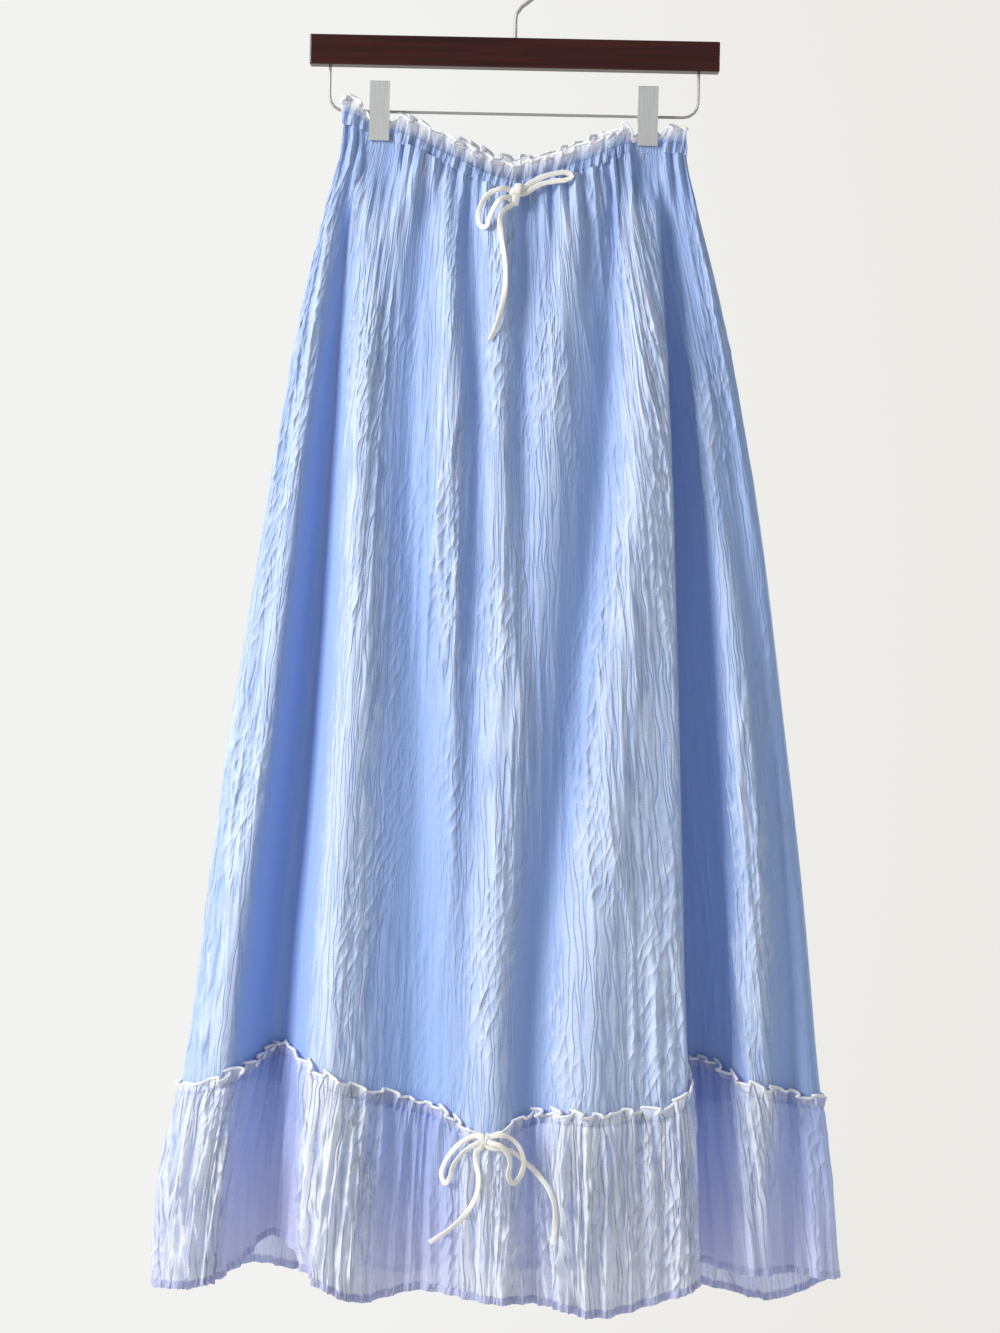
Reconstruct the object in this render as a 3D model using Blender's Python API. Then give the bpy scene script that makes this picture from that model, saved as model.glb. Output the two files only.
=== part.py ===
"""Ruffle maxi skirt of crinkled gauze, hung by two clips from a wooden trouser hanger.

Run it with blender --background --python part.py, or from Blender's text editor. The tables
are in millimetres, with drop as the distance below the rod that the hook hangs on. The model
is in metres, +Z up and +X to the wearer's left as seen from the front. The front faces -Y,
and the origin is the point where the hook rests on its rod.
"""

import math

import bmesh
import bpy
import numpy as np
from mathutils import Matrix, Vector

MM = 0.001

# Cloth: wall, room at a seam, and where the layers hang behind and before the hook.
WALL = 1.2
SEAM_ROOM = 0.3
CLOTH_Y = -3.5
FRONT, BACK = -1.0, 1.0

# Waist: a gathered casing with a frill standing above it, between the two clips.
CASING = 10.0
FRILL = 13.0
FRILL_PRESSED = 0.62
WAIST_GATHERS = 32
CLIP_X = 116.0
PRESSED_HALF = 10.4
PRESSED_FADE = 19.0
PRESSED_DEPTH = 1.2
PRESSED_DROP = 178.0
RELEASED_DROP = 222.0

# Flounce: a gathered strip with its own small heading, sewn over the panel's lower edge.
FLOUNCE_GATHERS = 42
HEADING = 10.0
LAP = 6.0

# Columns for each gather, close beside a seam and further from it.
PER_GATHER = 3
PER_FLUTE = 2
PANEL_COLUMNS = 42
FINE = 901
BEND_WEIGHT = 13.0
SPREAD_ROWS = 24

# Share of a side that is flat between its two turned edges, how full its middle stands, and
# the height over which the folds grow below the clips.
EDGE_SHARE = 0.9
FULLNESS = 1.3
FOLDS_GROW = 60.0

# Gathers: the depth that is kept clear of the other side, the bend of the cloth at which they
# are half as high, how far from a side seam they start, and how uneven they are.
LEAST_DEPTH = 1.3
CALM_BEND = 0.4
FIRST_GATHER = 0.4
GATHERS_GROW = 1.2
UNEVEN = 0.18
UNEVEN_WAVES = (1.7, 0.6)

# The tube of cloth, one row for each height: left and right sides, depth to the front and
# to the back, and the radius that the cloth turns round at each side.
OUTLINE = {
    "drop": (125, 170, 215, 300, 475, 650, 820, 960, 1080, 1170),
    "left": (-147, -149, -160, -178, -206, -231, -251, -267, -287, -294),
    "right": (151, 150, 160, 182, 218, 243, 265, 280, 296, 305),
    "front": (6.5, 7.0, 13, 22, 34, 43, 50, 55, 58, 60),
    "back": (5.5, 6.0, 11, 18, 29, 37, 43, 47, 50, 52),
    "edge": (2.4, 2.4, 3.5, 6, 10, 14, 17, 19, 20, 20),
}

# Lines across the cloth: the lower edge of the casing, the flounce seam and the hem.
WAIST_LINE = {
    FRONT: (
        (-145, 150), (-115, 160), (-88, 170), (-52, 187), (-13, 204), (0, 207),
        (21, 202), (65, 187), (99, 172), (125, 169), (150, 171),
    ),
    BACK: (
        (-145, 150), (-115, 160), (-88, 168), (-52, 182), (0, 198),
        (45, 188), (80, 176), (99, 171), (125, 169), (150, 171),
    ),
}
SEAM_LINE = {
    FRONT: (
        (-275, 990), (-246, 984), (-215, 972), (-190, 957), (-164, 961), (-130, 979),
        (-84, 991), (-46, 1001), (-12, 1019), (30, 1002), (107, 998), (145, 989),
        (162, 965), (185, 961), (215, 975), (285, 992),
    ),
    BACK: ((-275, 990), (-150, 979), (-60, 991), (40, 981), (150, 990), (285, 992)),
}
HEM_LINE = {
    FRONT: (
        (-292, 1156), (-250, 1149), (-218, 1138), (-194, 1116), (-172, 1117), (-148, 1138),
        (-119, 1153), (-61, 1147), (-14, 1149), (53, 1154), (92, 1160), (140, 1150),
        (160, 1140), (184, 1127), (206, 1131), (260, 1133), (305, 1138),
    ),
    BACK: (
        (-292, 1156), (-230, 1150), (-200, 1143), (-160, 1149), (0, 1146), (100, 1150),
        (180, 1152), (210, 1161), (238, 1170), (266, 1160), (305, 1138),
    ),
}

# The folds: heights at which each states its columns, which are its place along x, how far
# it stands out (a hollow is minus) and its half width.
FOLD_DROPS = (200, 400, 650, 900, 1150)
FOLD_COLUMNS = ("x", "out", "half")
FOLDS = {
    FRONT: {
        "left roll": (
            (-150, -172, -197, -224, -250),
            (0, 6, 10, 14, 17),
            (6, 10, 15, 19, 24),
        ),
        "left hollow": (
            (-138, -152, -168, -187, -196),
            (-5, -20, -35, -45, -50),
            (8, 14, 20, 26, 31),
        ),
        "left ridge": (
            (-117, -124, -129, -141, -142),
            (3, 10, 14, 17, 20),
            (11, 15, 21, 27, 31),
        ),
        "left fall": (
            (-72, -82, -70, -65, -62),
            (-4, -8, -11, -14, -16),
            (11, 15, 23, 30, 33),
        ),
        "inner left ridge": (
            (-54, -49, -44, -40, -38),
            (4, 7, 5, 2, 0),
            (9, 12, 14, 14, 14),
        ),
        "inner left fall": (
            (-38, -24, -24, -26, -26),
            (-4, -7, -5, -2, 0),
            (8, 10, 12, 12, 12),
        ),
        "centre ridge": (
            (-10, -8, 3, 0, 10),
            (5, 7, 9, 13, 15),
            (11, 12, 19, 24, 28),
        ),
        "centre pleat": (
            (12, 14, 16, 16, 16),
            (-4, -3, 0, 0, 0),
            (7, 9, 10, 10, 10),
        ),
        "inner right ridge": (
            (54, 40, 32, 32, 32),
            (5, 6, 1, 0, 0),
            (13, 15, 16, 16, 16),
        ),
        "right fall": (
            (87, 84, 62, 32, 36),
            (-4, -8, -9, -11, -12),
            (11, 15, 20, 20, 22),
        ),
        "right ridge": (
            (106, 113, 100, 82, 80),
            (4, 9, 12, 16, 19),
            (11, 15, 22, 31, 36),
        ),
        "right roll": (
            (141, 168, 204, 220, 216),
            (2, 8, 12, 15, 18),
            (7, 12, 17, 22, 26),
        ),
        "right fall at side": (
            (150, 184, 226, 250, 256),
            (0, 0, -4, -8, -12),
            (8, 10, 13, 15, 17),
        ),
    },
    BACK: {
        "left roll": (
            (-140, -160, -188, -212, -228),
            (2, 6, 10, 13, 16),
            (8, 12, 17, 22, 26),
        ),
        "left hollow": (
            (-118, -130, -150, -170, -180),
            (-2, -8, -12, -12, -13),
            (9, 13, 18, 22, 25),
        ),
        "left ridge": (
            (-96, -104, -112, -122, -126),
            (3, 9, 13, 16, 18),
            (10, 14, 19, 24, 28),
        ),
        "left fall": (
            (-72, -74, -72, -74, -76),
            (-4, -9, -14, -18, -21),
            (10, 13, 18, 22, 25),
        ),
        "inner left ridge": (
            (-46, -42, -34, -28, -26),
            (4, 8, 11, 14, 17),
            (10, 13, 18, 23, 26),
        ),
        "centre fall": (
            (-18, -10, 4, 18, 22),
            (-4, -8, -12, -15, -18),
            (9, 12, 17, 21, 24),
        ),
        "centre ridge": (
            (10, 20, 38, 58, 64),
            (4, 7, 10, 14, 17),
            (9, 13, 18, 22, 25),
        ),
        "right fall": (
            (42, 52, 74, 98, 106),
            (-4, -9, -14, -17, -20),
            (10, 13, 18, 20, 23),
        ),
        "right ridge": (
            (74, 88, 112, 138, 146),
            (4, 9, 12, 15, 17),
            (11, 14, 18, 20, 23),
        ),
        "right hollow": (
            (104, 122, 150, 176, 186),
            (-2, -7, -10, -10, -12),
            (9, 13, 17, 20, 22),
        ),
        "right roll": (
            (138, 160, 192, 218, 230),
            (2, 6, 10, 13, 16),
            (8, 12, 18, 22, 26),
        ),
    },
}

# The one fold whose edge lies over the hollow beside it: its edge, how far the cloth is
# carried across, the half width of the turn, the edge's height and the hollow's depth.
OVERLAP = {
    "x": (126, 137, 148, 158, 174),
    "across": (3, 9, 12, 13, 12),
    "half": (6, 9, 12, 14, 14),
    "edge": (2, 5, 7, 9, 10),
    "hollow": (6, 22, 32, 40, 44),
}
OVERLAP_REACH = 2.6

# Rows of the casing and frill: share of the frill's height, share of the casing's height that
# lies above the row, and gather height.
WAIST_ROWS = ((1.0, 1.0, 2.8), (0.0, 1.0, 1.4), (0.0, 0.0, 1.5))

# Rows of the panel from the waist to the flounce heading, as shares of that length. The first
# ones are gathered, with the columns for each gather and its height.
PANEL_GATHERED = (
    (0.0, PER_GATHER, 1.5),
    (0.024, PER_GATHER, 2.1),
    (0.06, PER_FLUTE, 1.6),
)
PANEL_ROWS = (0.11, 0.19, 0.29, 0.41, 0.53, 0.65, 0.77, 0.89, 1.0)

# Rows of the flounce. Those laid on the panel: share of the way down from the heading's top to
# the panel's lower edge, distance out from the panel, gather height. Those that fall free:
# share of the fall, distance out from the panel's own line, gather height.
FLOUNCE_LAID = (
    (0.0, 3.5, 1.8),
    (0.625, 2.8, 1.2),
    (1.0, 3.3, 1.7),
)
FLOUNCE_FALL = (
    (0.14, 3.1, 3.1),
    (0.42, 2.1, 3.4),
    (0.72, 0.6, 3.7),
    (1.0, 0.0, 4.0),
)

# Hanger: a flat wooden bar, a wire hook, a wire rail and two plated spring clips.
BAR = {"length": 355.0, "depth": 13.0, "top": 72.0, "height": 26.0, "round": 1.2}
HOOK = {"radius": 1.75, "bend": 22.0, "stem_top": 55.0, "seat": 15.0}
RAIL = {"radius": 1.3, "x": 160.0, "drop": 136.4, "corner": 13.0, "y": 3.5, "seat": 10.0}
CLIP = {
    "width": 17.4, "top": 112.0, "bottom": 163.5, "plate": 2.6, "ear": 1.2, "ear_low": 139.6,
    "ear_high": 129.0, "bore": 1.65, "grip": 2.15, "back_plate": 1.6, "spring": 2.7,
    "round": 0.55, "around_bore": 1.6, "ear_gap": 0.4, "back_short": 1.0, "lever_short": 3.0,
    "lever_bend": 139.0, "lever_foot": 149.5, "spring_gap": 1.2,
}

# Cords of the two bows: radius, spacing of a tube's points, room before the cloth, and the
# heights over which the gathers below the casing stand and fade.
CORD_RADIUS = 2.1
CORD_STEP = 8.4
LOOSE = 0.4
GATHERS_STAND = 30.0
GATHERS_FADE = 60.0

# Each knot: place, size along x, y and z, and how much nearer the cloth than the loose room.
# Each route: points of (x, drop, lift of the cord's centre off the cloth).
KNOTS = {
    "waist_bow_knot": {"x": 2.7, "drop": 211.0, "size": (9.5, 7.5, 15.0), "nearer": 0.5},
    "flounce_bow_knot": {"x": -7.0, "drop": 1011.0, "size": (9.9, 7.5, 9.9), "nearer": 0.8},
}
ROUTES = {
    "waist_bow_loop_left": (
        (-2.0, 207.4, 4.2), (-10, 207, 6.5), (-18.5, 210.5, 6), (-25.5, 218.5, 4.6), (-28.5, 229, 3.4),
        (-26.5, 238.5, 2.8), (-21.8, 239.5, 2.8), (-19, 232, 3.6), (-14.5, 222.5, 6.2),
        (-8.5, 215.5, 6.4), (-2.0, 213.4, 4.8),
    ),
    "waist_bow_loop_right": (
        (8.6, 206, 4.6), (16, 199.5, 5), (26, 194, 5), (38, 189.5, 4.4), (47.5, 189.8, 3.6),
        (51.3, 193.4, 3.2), (47, 197.2, 3.2), (36, 199.6, 3.4), (22, 203.6, 3.6), (8.7, 211.4, 4.2),
    ),
    "waist_bow_tail": (
        (1.2, 218.6, 3.0), (-4.6, 223, 2.6), (-9.6, 230, 2.6), (-9, 244, 2.6), (-6, 262, 2.6),
        (-4, 281, 2.6), (-6, 305, 2.6), (-11, 326, 2.6), (-16.5, 338, 2.6),
    ),
    "flounce_bow_loop_left": (
        (-12.4, 1009, 3.8), (-22, 1012.5, 5.5), (-33, 1023, 4.6), (-40.5, 1035, 3.4), (-43, 1046, 2.8),
        (-39.6, 1053, 2.8), (-35.4, 1046, 3), (-33, 1036.5, 4.2), (-27, 1026.5, 6.2),
        (-19, 1018.6, 7.6), (-12.0, 1013.8, 5.6),
    ),
    "flounce_bow_loop_right": (
        (-2.2, 1008.6, 3.8), (7.5, 1007, 6.6), (16.5, 1011.4, 8.4), (23.4, 1021, 9.0), (26, 1033, 7.4),
        (22.8, 1044, 4), (17.2, 1048.6, 2.8), (13.2, 1042, 3.6), (14.6, 1031, 6.2),
        (11.4, 1021, 8.4), (5.4, 1015, 8), (-2.0, 1013.2, 5.6),
    ),
    "flounce_bow_tail_left": (
        (-8.8, 1016.8, 2.8), (-14.4, 1023.8, 2.6), (-14, 1032, 2.6), (-11.4, 1043, 2.6),
        (-12, 1055, 2.6), (-17.4, 1068.6, 2.9), (-27, 1082, 3.1), (-39, 1094, 2.8), (-52, 1104, 2.6),
    ),
    "flounce_bow_tail_right": (
        (-4.2, 1016.9, 2.8), (4, 1018.6, 2.9), (14, 1020.8, 3.2), (24.6, 1029.2, 2.8), (37, 1041.4, 3.0),
        (47, 1053, 3.3), (52, 1064, 2.9), (53.4, 1077, 2.6), (53, 1088, 2.6), (51, 1100, 2.6),
    ),
}

# Base colour, roughness and metallic value of each material.
MATERIALS = {
    "gauze": ((0.42, 0.58, 0.86), 0.85, 0.0),
    "sheer_gauze": ((0.55, 0.62, 0.85), 0.85, 0.0),
    "frill": ((0.80, 0.84, 0.93), 0.85, 0.0),
    "ivory_cord": ((0.88, 0.87, 0.82), 0.7, 0.0),
    "dark_wood": ((0.085, 0.018, 0.014), 0.3, 0.0),
    "steel_wire": ((0.62, 0.62, 0.60), 0.3, 1.0),
    "plated_clip": ((0.60, 0.62, 0.62), 0.4, 1.0),
}


def clear_scene():
    for thing in list(bpy.data.objects):
        bpy.data.objects.remove(thing, do_unlink=True)


def material(name):
    """The named finish, made the first time that it is asked for."""
    found = bpy.data.materials.get(name)
    if found:
        return found
    colour, roughness, metallic = MATERIALS[name]
    made = bpy.data.materials.new(name)
    made.use_nodes = True
    shader = made.node_tree.nodes["Principled BSDF"]
    shader.inputs["Base Color"].default_value = (*colour, 1.0)
    shader.inputs["Roughness"].default_value = roughness
    shader.inputs["Metallic"].default_value = metallic
    made.diffuse_color = (*colour, 1.0)
    return made


def add_object(name, data, finish):
    made = bpy.data.objects.new(name, data)
    bpy.context.scene.collection.objects.link(made)
    data.materials.append(material(finish))
    return made


def through(places, values, at):
    """A smooth curve through values at places, held flat beyond both ends."""
    places = np.asarray(places, float)
    values = np.asarray(values, float)
    at = np.clip(at, places[0], places[-1])
    slopes = np.gradient(values, places)
    i = np.clip(np.searchsorted(places, at, side="right") - 1, 0, len(places) - 2)
    span = places[i + 1] - places[i]
    t = (at - places[i]) / span
    start = (2 * t**3 - 3 * t**2 + 1) * values[i] + (t**3 - 2 * t**2 + t) * span * slopes[i]
    end = (3 * t**2 - 2 * t**3) * values[i + 1] + (t**3 - t**2) * span * slopes[i + 1]
    return start + end


def ease(value):
    """0 below 0, 1 above 1, and smooth between."""
    value = np.clip(value, 0.0, 1.0)
    return value * value * (3 - 2 * value)


def pressed(x, drop):
    """1 where a clip holds the two layers flat, and 0 well away from it."""
    beside = (PRESSED_FADE - np.abs(np.abs(x) - CLIP_X)) / (PRESSED_FADE - PRESSED_HALF)
    below = (RELEASED_DROP - drop) / (RELEASED_DROP - PRESSED_DROP)
    return ease(beside) * ease(below)


def plain_section(side, s, drop):
    """x and half depth of the cloth without folds, for s from -1 at the left to 1."""
    left = through(OUTLINE["drop"], OUTLINE["left"], drop)
    right = through(OUTLINE["drop"], OUTLINE["right"], drop)
    depth = through(OUTLINE["drop"], OUTLINE["front" if side == FRONT else "back"], drop)
    edge = through(OUTLINE["drop"], OUTLINE["edge"], drop)
    flat = (right - left) / 2 - edge
    across = np.clip(s / EDGE_SHARE, -1, 1)
    turn = np.clip((np.abs(s) - EDGE_SHARE) / (1 - EDGE_SHARE), 0, 1) * math.pi / 2
    x = (left + right) / 2 + flat * across + np.sign(s) * edge * np.sin(turn)
    out = edge * np.cos(turn) + (depth - edge) * (1 - across**2) ** FULLNESS
    return x, out


def fold_out(side, x, drop):
    """How far the side's folds stand out of the plain section, and the shift along x."""
    out = np.zeros_like(x)
    for columns in FOLDS[side].values():
        fold = {key: through(FOLD_DROPS, row, drop) for key, row in zip(FOLD_COLUMNS, columns)}
        out += fold["out"] * np.exp(-(((x - fold["x"]) / fold["half"]) ** 2))
    shift = np.zeros_like(x)
    if side == FRONT:
        reads = {key: through(FOLD_DROPS, row, drop) for key, row in OVERLAP.items()}
        t = (x - reads["x"]) / reads["half"]
        shift = -reads["across"] * t * np.exp((1 - t * t) / 2)
        out += reads["edge"] * np.exp(-(((t + 1) / OVERLAP_REACH) ** 2)) * (1 - np.tanh(2 * t)) / 2
        fall = np.exp(-((np.maximum(t - 1, 0) / OVERLAP_REACH) ** 2))
        out -= reads["hollow"] * fall * (1 + np.tanh(2 * t)) / 2
    return out, shift


def surface(side, s, drop):
    """Points in the middle of the cloth's wall, with its folds and without its gathers."""
    x, out = plain_section(side, s, drop)
    begun = ease((drop - PRESSED_DROP) / FOLDS_GROW)
    fold, shift = fold_out(side, x, drop)
    kept = ease((1 - np.abs(s)) / (1 - EDGE_SHARE)) * begun
    out = out + fold * kept
    held = pressed(x, drop)
    out = out * (1 - held) + np.minimum(out, PRESSED_DEPTH) * held
    return np.stack([x + shift * kept, CLOTH_Y + side * out, -drop], axis=-1)


def line_drops(side, line, s):
    """The drop of a line that is given by x, at each s."""
    places, drops = zip(*line[side])
    drop = np.full_like(s, np.mean(drops))
    for _ in range(6):
        x, _out = plain_section(side, s, drop)
        drop = through(places, drops, x)
    return drop


class Side:
    """The lines of one side of the skirt, read closely from seam to seam."""

    def __init__(self, side):
        self.side = side
        self.s = np.linspace(-1, 1, FINE)
        self.waist = line_drops(side, WAIST_LINE, self.s)
        self.seam = line_drops(side, SEAM_LINE, self.s)
        self.hem = line_drops(side, HEM_LINE, self.s)
        self.spread = np.zeros(FINE)
        for share in np.linspace(0, 1, SPREAD_ROWS):
            fine = surface(side, self.s, self.waist + share * (self.hem - self.waist))
            steps = np.diff(fine, axis=0)
            bearings = np.unwrap(np.arctan2(steps[:, 1], steps[:, 0]))
            turns = np.abs(np.diff(bearings, prepend=bearings[0]))
            weight = np.cumsum(np.linalg.norm(steps, axis=1) + BEND_WEIGHT * turns)
            self.spread[1:] += weight / weight[-1] / SPREAD_ROWS

    def row(self, drop, columns):
        """Points at the given drops, in columns that fall straight down the skirt.

        The columns are spread by length and by how much the cloth bends, over the whole fall.
        """
        fine = surface(self.side, self.s, drop)
        lengths = np.linalg.norm(np.diff(fine, axis=0), axis=1)
        length = np.concatenate([[0.0], np.cumsum(lengths)])
        ends = np.interp([SEAM_ROOM / 2, length[-1] - SEAM_ROOM / 2], length, self.spread)
        at = np.interp(np.linspace(*ends, columns + 1), self.spread, self.s)
        return np.stack([np.interp(at, self.s, fine[:, k]) for k in range(3)], axis=1)


def outward(points, side):
    """Level unit vectors that point out of a row, and along x at its two ends."""
    along = np.gradient(points, axis=0)
    out = np.stack([-side * along[:, 1], side * along[:, 0], 0 * along[:, 0]], axis=1)
    out /= np.linalg.norm(out, axis=1)[:, None]
    out[0] = (-1, 0, 0)
    out[-1] = (1, 0, 0)
    return out


def depth_from_middle(points):
    return np.abs(points[:, 1] - CLOTH_Y)


def gather(points, side, count, height):
    """Move a row in and out in waves, uneven in height, with none at its two ends."""
    wave = np.linspace(0, count, len(points))
    first, second = UNEVEN_WAVES
    uneven = 1 - UNEVEN + UNEVEN * np.sin(first * wave) * np.cos(second * wave)
    room = np.clip(depth_from_middle(points) - LEAST_DEPTH, 0, height)
    ends = ease((np.minimum(wave, count - wave) - FIRST_GATHER) / GATHERS_GROW)
    along = np.gradient(points, axis=0)
    bearings = np.unwrap(np.arctan2(along[:, 1], along[:, 0]))
    calm = 1 / (1 + (np.gradient(bearings) / CALM_BEND) ** 2)
    move = room * ends * calm * uneven * np.cos(2 * math.pi * wave)
    return points + outward(points, side) * move[:, None]


def zip_rows(first, second):
    """Triangles between two rows of point numbers that may differ in length."""
    faces = []
    i = j = 0
    while i < len(first) - 1 or j < len(second) - 1:
        ahead_i = (i + 1) / (len(first) - 1)
        ahead_j = (j + 1) / (len(second) - 1)
        if ahead_i <= ahead_j:
            faces.append((first[i], first[i + 1], second[j]))
            i += 1
        else:
            faces.append((first[i], second[j + 1], second[j]))
            j += 1
    return faces


def middle_normals(points, faces, side, ends):
    """Unit normals of the middle surface that point out, level and along x at the seams."""
    faces = np.array(faces)
    a, b, c = (points[faces[:, k]] for k in range(3))
    flat = np.cross(b - a, c - a)
    normals = np.zeros_like(points)
    for k in range(3):
        np.add.at(normals, faces[:, k], flat)
    normals /= np.linalg.norm(normals, axis=1)[:, None]
    if normals[:, 1].mean() * side < 0:
        normals = -normals
    for first, last in ends:
        normals[first] = (-1, 0, 0)
        normals[last] = (1, 0, 0)
    return normals


def wall(name, rows, side, finish):
    """A closed wall of cloth through rows of middle points, from the top to the bottom."""
    numbers, start = [], 0
    for row in rows:
        numbers.append(list(range(start, start + len(row))))
        start += len(row)
    points = np.concatenate(rows)
    middle = []
    for upper, lower in zip(numbers, numbers[1:]):
        middle += zip_rows(upper, lower)
    ends = [(row[0], row[-1]) for row in numbers]
    normals = middle_normals(points, middle, side, ends)
    corners = np.concatenate([points + normals * WALL / 2, points - normals * WALL / 2]) * MM
    inner = [(c + start, b + start, a + start) for a, b, c in middle]
    rims = []
    for row, turned in ((numbers[0], True), (numbers[-1], False)):
        for a, b in zip(row, row[1:]):
            quad = (a, b, b + start, a + start)
            rims.append(quad[::-1] if turned else quad)
    for k, turned in ((0, False), (-1, True)):
        for upper, lower in zip(numbers, numbers[1:]):
            a, b = upper[k], lower[k]
            quad = (a, b, b + start, a + start)
            rims.append(quad[::-1] if turned else quad)
    mesh = bpy.data.meshes.new(name)
    mesh.from_pydata([tuple(p) for p in corners], [], middle + inner + rims)
    work = bmesh.new()
    work.from_mesh(mesh)
    bmesh.ops.recalc_face_normals(work, faces=work.faces)
    work.to_mesh(mesh)
    work.free()
    mesh.shade_smooth()
    mesh.set_sharp_from_angle(angle=math.radians(70))
    return add_object(name, mesh, finish)


def panel_rows(cloth):
    """The body panel, from the casing's lower edge to just under the flounce seam."""
    top = cloth.waist + 2 * SEAM_ROOM
    bottom = cloth.seam - HEADING
    rows = []
    for share, per, height in PANEL_GATHERED:
        row = cloth.row(top + share * (bottom - top), WAIST_GATHERS * per)
        rows.append(gather(row, cloth.side, WAIST_GATHERS, height))
    for share in PANEL_ROWS:
        rows.append(cloth.row(top + share * (bottom - top), PANEL_COLUMNS))
    rows.append(cloth.row(cloth.seam + LAP, PANEL_COLUMNS))
    return rows


def waist_rows(cloth):
    """The casing and the frill above it, pressed lower where a clip holds them."""
    x, _out = plain_section(cloth.side, cloth.s, cloth.waist)
    frill = FRILL * (1 - FRILL_PRESSED * pressed(x, cloth.waist - CASING - FRILL))
    rows = []
    for of_frill, of_casing, height in WAIST_ROWS:
        drop = cloth.waist - of_casing * CASING - of_frill * frill
        row = cloth.row(drop, WAIST_GATHERS * PER_GATHER)
        rows.append(gather(row, cloth.side, WAIST_GATHERS, height))
    return rows


def finer(row, parts):
    """A row with each of its stretches divided into equal parts."""
    at = np.linspace(0, len(row) - 1, (len(row) - 1) * parts + 1)
    return np.stack([np.interp(at, np.arange(len(row)), row[:, k]) for k in range(3)], axis=1)


def laid_on(row, side, away):
    """A row moved out from the panel that it lies on."""
    return row + outward(row, side) * away


def flounce_rows(cloth, panel):
    """The flounce: its heading and seam lie on the panel's own points, then it falls free."""
    heading_row, lap_row = panel[-2], panel[-1]
    rows = []
    for share, away, height in FLOUNCE_LAID:
        row = heading_row + share * (lap_row - heading_row)
        laid = finer(laid_on(row, cloth.side, away), PER_GATHER)
        rows.append(gather(laid, cloth.side, FLOUNCE_GATHERS, height))
    for share, away, height in FLOUNCE_FALL:
        drop = cloth.seam + LAP + share * (cloth.hem - cloth.seam - LAP)
        row = laid_on(cloth.row(drop, FLOUNCE_GATHERS * PER_FLUTE), cloth.side, away)
        rows.append(gather(row, cloth.side, FLOUNCE_GATHERS, height))
    return rows


def make_skirt():
    for side, word in ((FRONT, "front"), (BACK, "back")):
        cloth = Side(side)
        panel = panel_rows(cloth)
        wall(f"skirt_{word}", panel, side, "gauze")
        wall(f"waist_ruffle_{word}", waist_rows(cloth), side, "frill")
        wall(f"flounce_{word}", flounce_rows(cloth, panel), side, "sheer_gauze")


def smooth_route(points, step):
    """Points a step apart along a smooth curve through the route's own points."""
    points = np.asarray(points, float)
    chord = np.linalg.norm(np.diff(points, axis=0), axis=1)
    knots = np.concatenate([[0.0], np.cumsum(chord)])
    fine = np.linspace(0, knots[-1], 400)
    curve = np.stack([through(knots, points[:, k], fine) for k in range(3)], axis=1)
    length = np.concatenate([[0.0], np.cumsum(np.linalg.norm(np.diff(curve, axis=0), axis=1))])
    count = max(4, round(length[-1] / step))
    at = np.linspace(0, length[-1], count + 1)
    return np.stack([np.interp(at, length, curve[:, k]) for k in range(3)], axis=1)


def cloth_face(x, drop, on_flounce):
    """The y of the outermost cloth at a place on the front, gathers included."""
    share = drop_share(x, drop)
    middle = surface(FRONT, share, np.array([drop]))[0, 1]
    if on_flounce:
        top, bottom = (through(*zip(*line[FRONT]), x) for line in (SEAM_LINE, HEM_LINE))
        fall = (drop - top - LAP) / (bottom - top - LAP)
        shares = [-HEADING / (bottom - top), 0.0] + [row[0] for row in FLOUNCE_FALL]
        heights = [sum(row[1:]) for row in (FLOUNCE_LAID[0], FLOUNCE_LAID[-1], *FLOUNCE_FALL)]
        stands = np.interp(fall, shares, heights)
    else:
        begins = through(*zip(*WAIST_LINE[FRONT]), x)
        tall = max(row[2] for row in PANEL_GATHERED)
        stands = tall * (1 - ease((drop - begins - GATHERS_STAND) / GATHERS_FADE))
    return middle - WALL / 2 - LOOSE - stands


def drop_share(x, drop):
    """The s whose plain section lies at x, at this drop."""
    s = np.linspace(-EDGE_SHARE, EDGE_SHARE, FINE)
    places, _out = plain_section(FRONT, s, np.full_like(s, drop))
    return np.array([np.interp(x, places, s)])


def tube(name, points, radius, finish, resolution):
    """A round cord or wire with closed ends, along points in millimetres."""
    curve = bpy.data.curves.new(name, "CURVE")
    curve.dimensions = "3D"
    curve.bevel_depth = radius * MM
    curve.bevel_resolution = resolution
    curve.use_fill_caps = True
    spline = curve.splines.new("POLY")
    spline.points.add(len(points) - 1)
    for place, point in zip(spline.points, points):
        place.co = (point[0] * MM, point[1] * MM, point[2] * MM, 1.0)
    spline.use_smooth = True
    return add_object(name, curve, finish)


def make_bows():
    for name, route in ROUTES.items():
        low = name.startswith("flounce")
        points = [(x, cloth_face(x, drop, low) - lift, -drop) for x, drop, lift in route]
        tube(name, smooth_route(points, CORD_STEP), CORD_RADIUS, "ivory_cord", 2)
    for name, knot in KNOTS.items():
        low = name.startswith("flounce")
        width, depth, height = knot["size"]
        face = cloth_face(knot["x"], knot["drop"], low)
        mesh = bpy.data.meshes.new(name)
        work = bmesh.new()
        bmesh.ops.create_icosphere(work, subdivisions=2, radius=0.5)
        bmesh.ops.scale(work, vec=(width * MM, depth * MM, height * MM), verts=work.verts)
        work.to_mesh(mesh)
        work.free()
        mesh.shade_smooth()
        made = add_object(name, mesh, "ivory_cord")
        made.location = (knot["x"] * MM, (face + knot["nearer"] - depth / 2) * MM, -knot["drop"] * MM)


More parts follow.
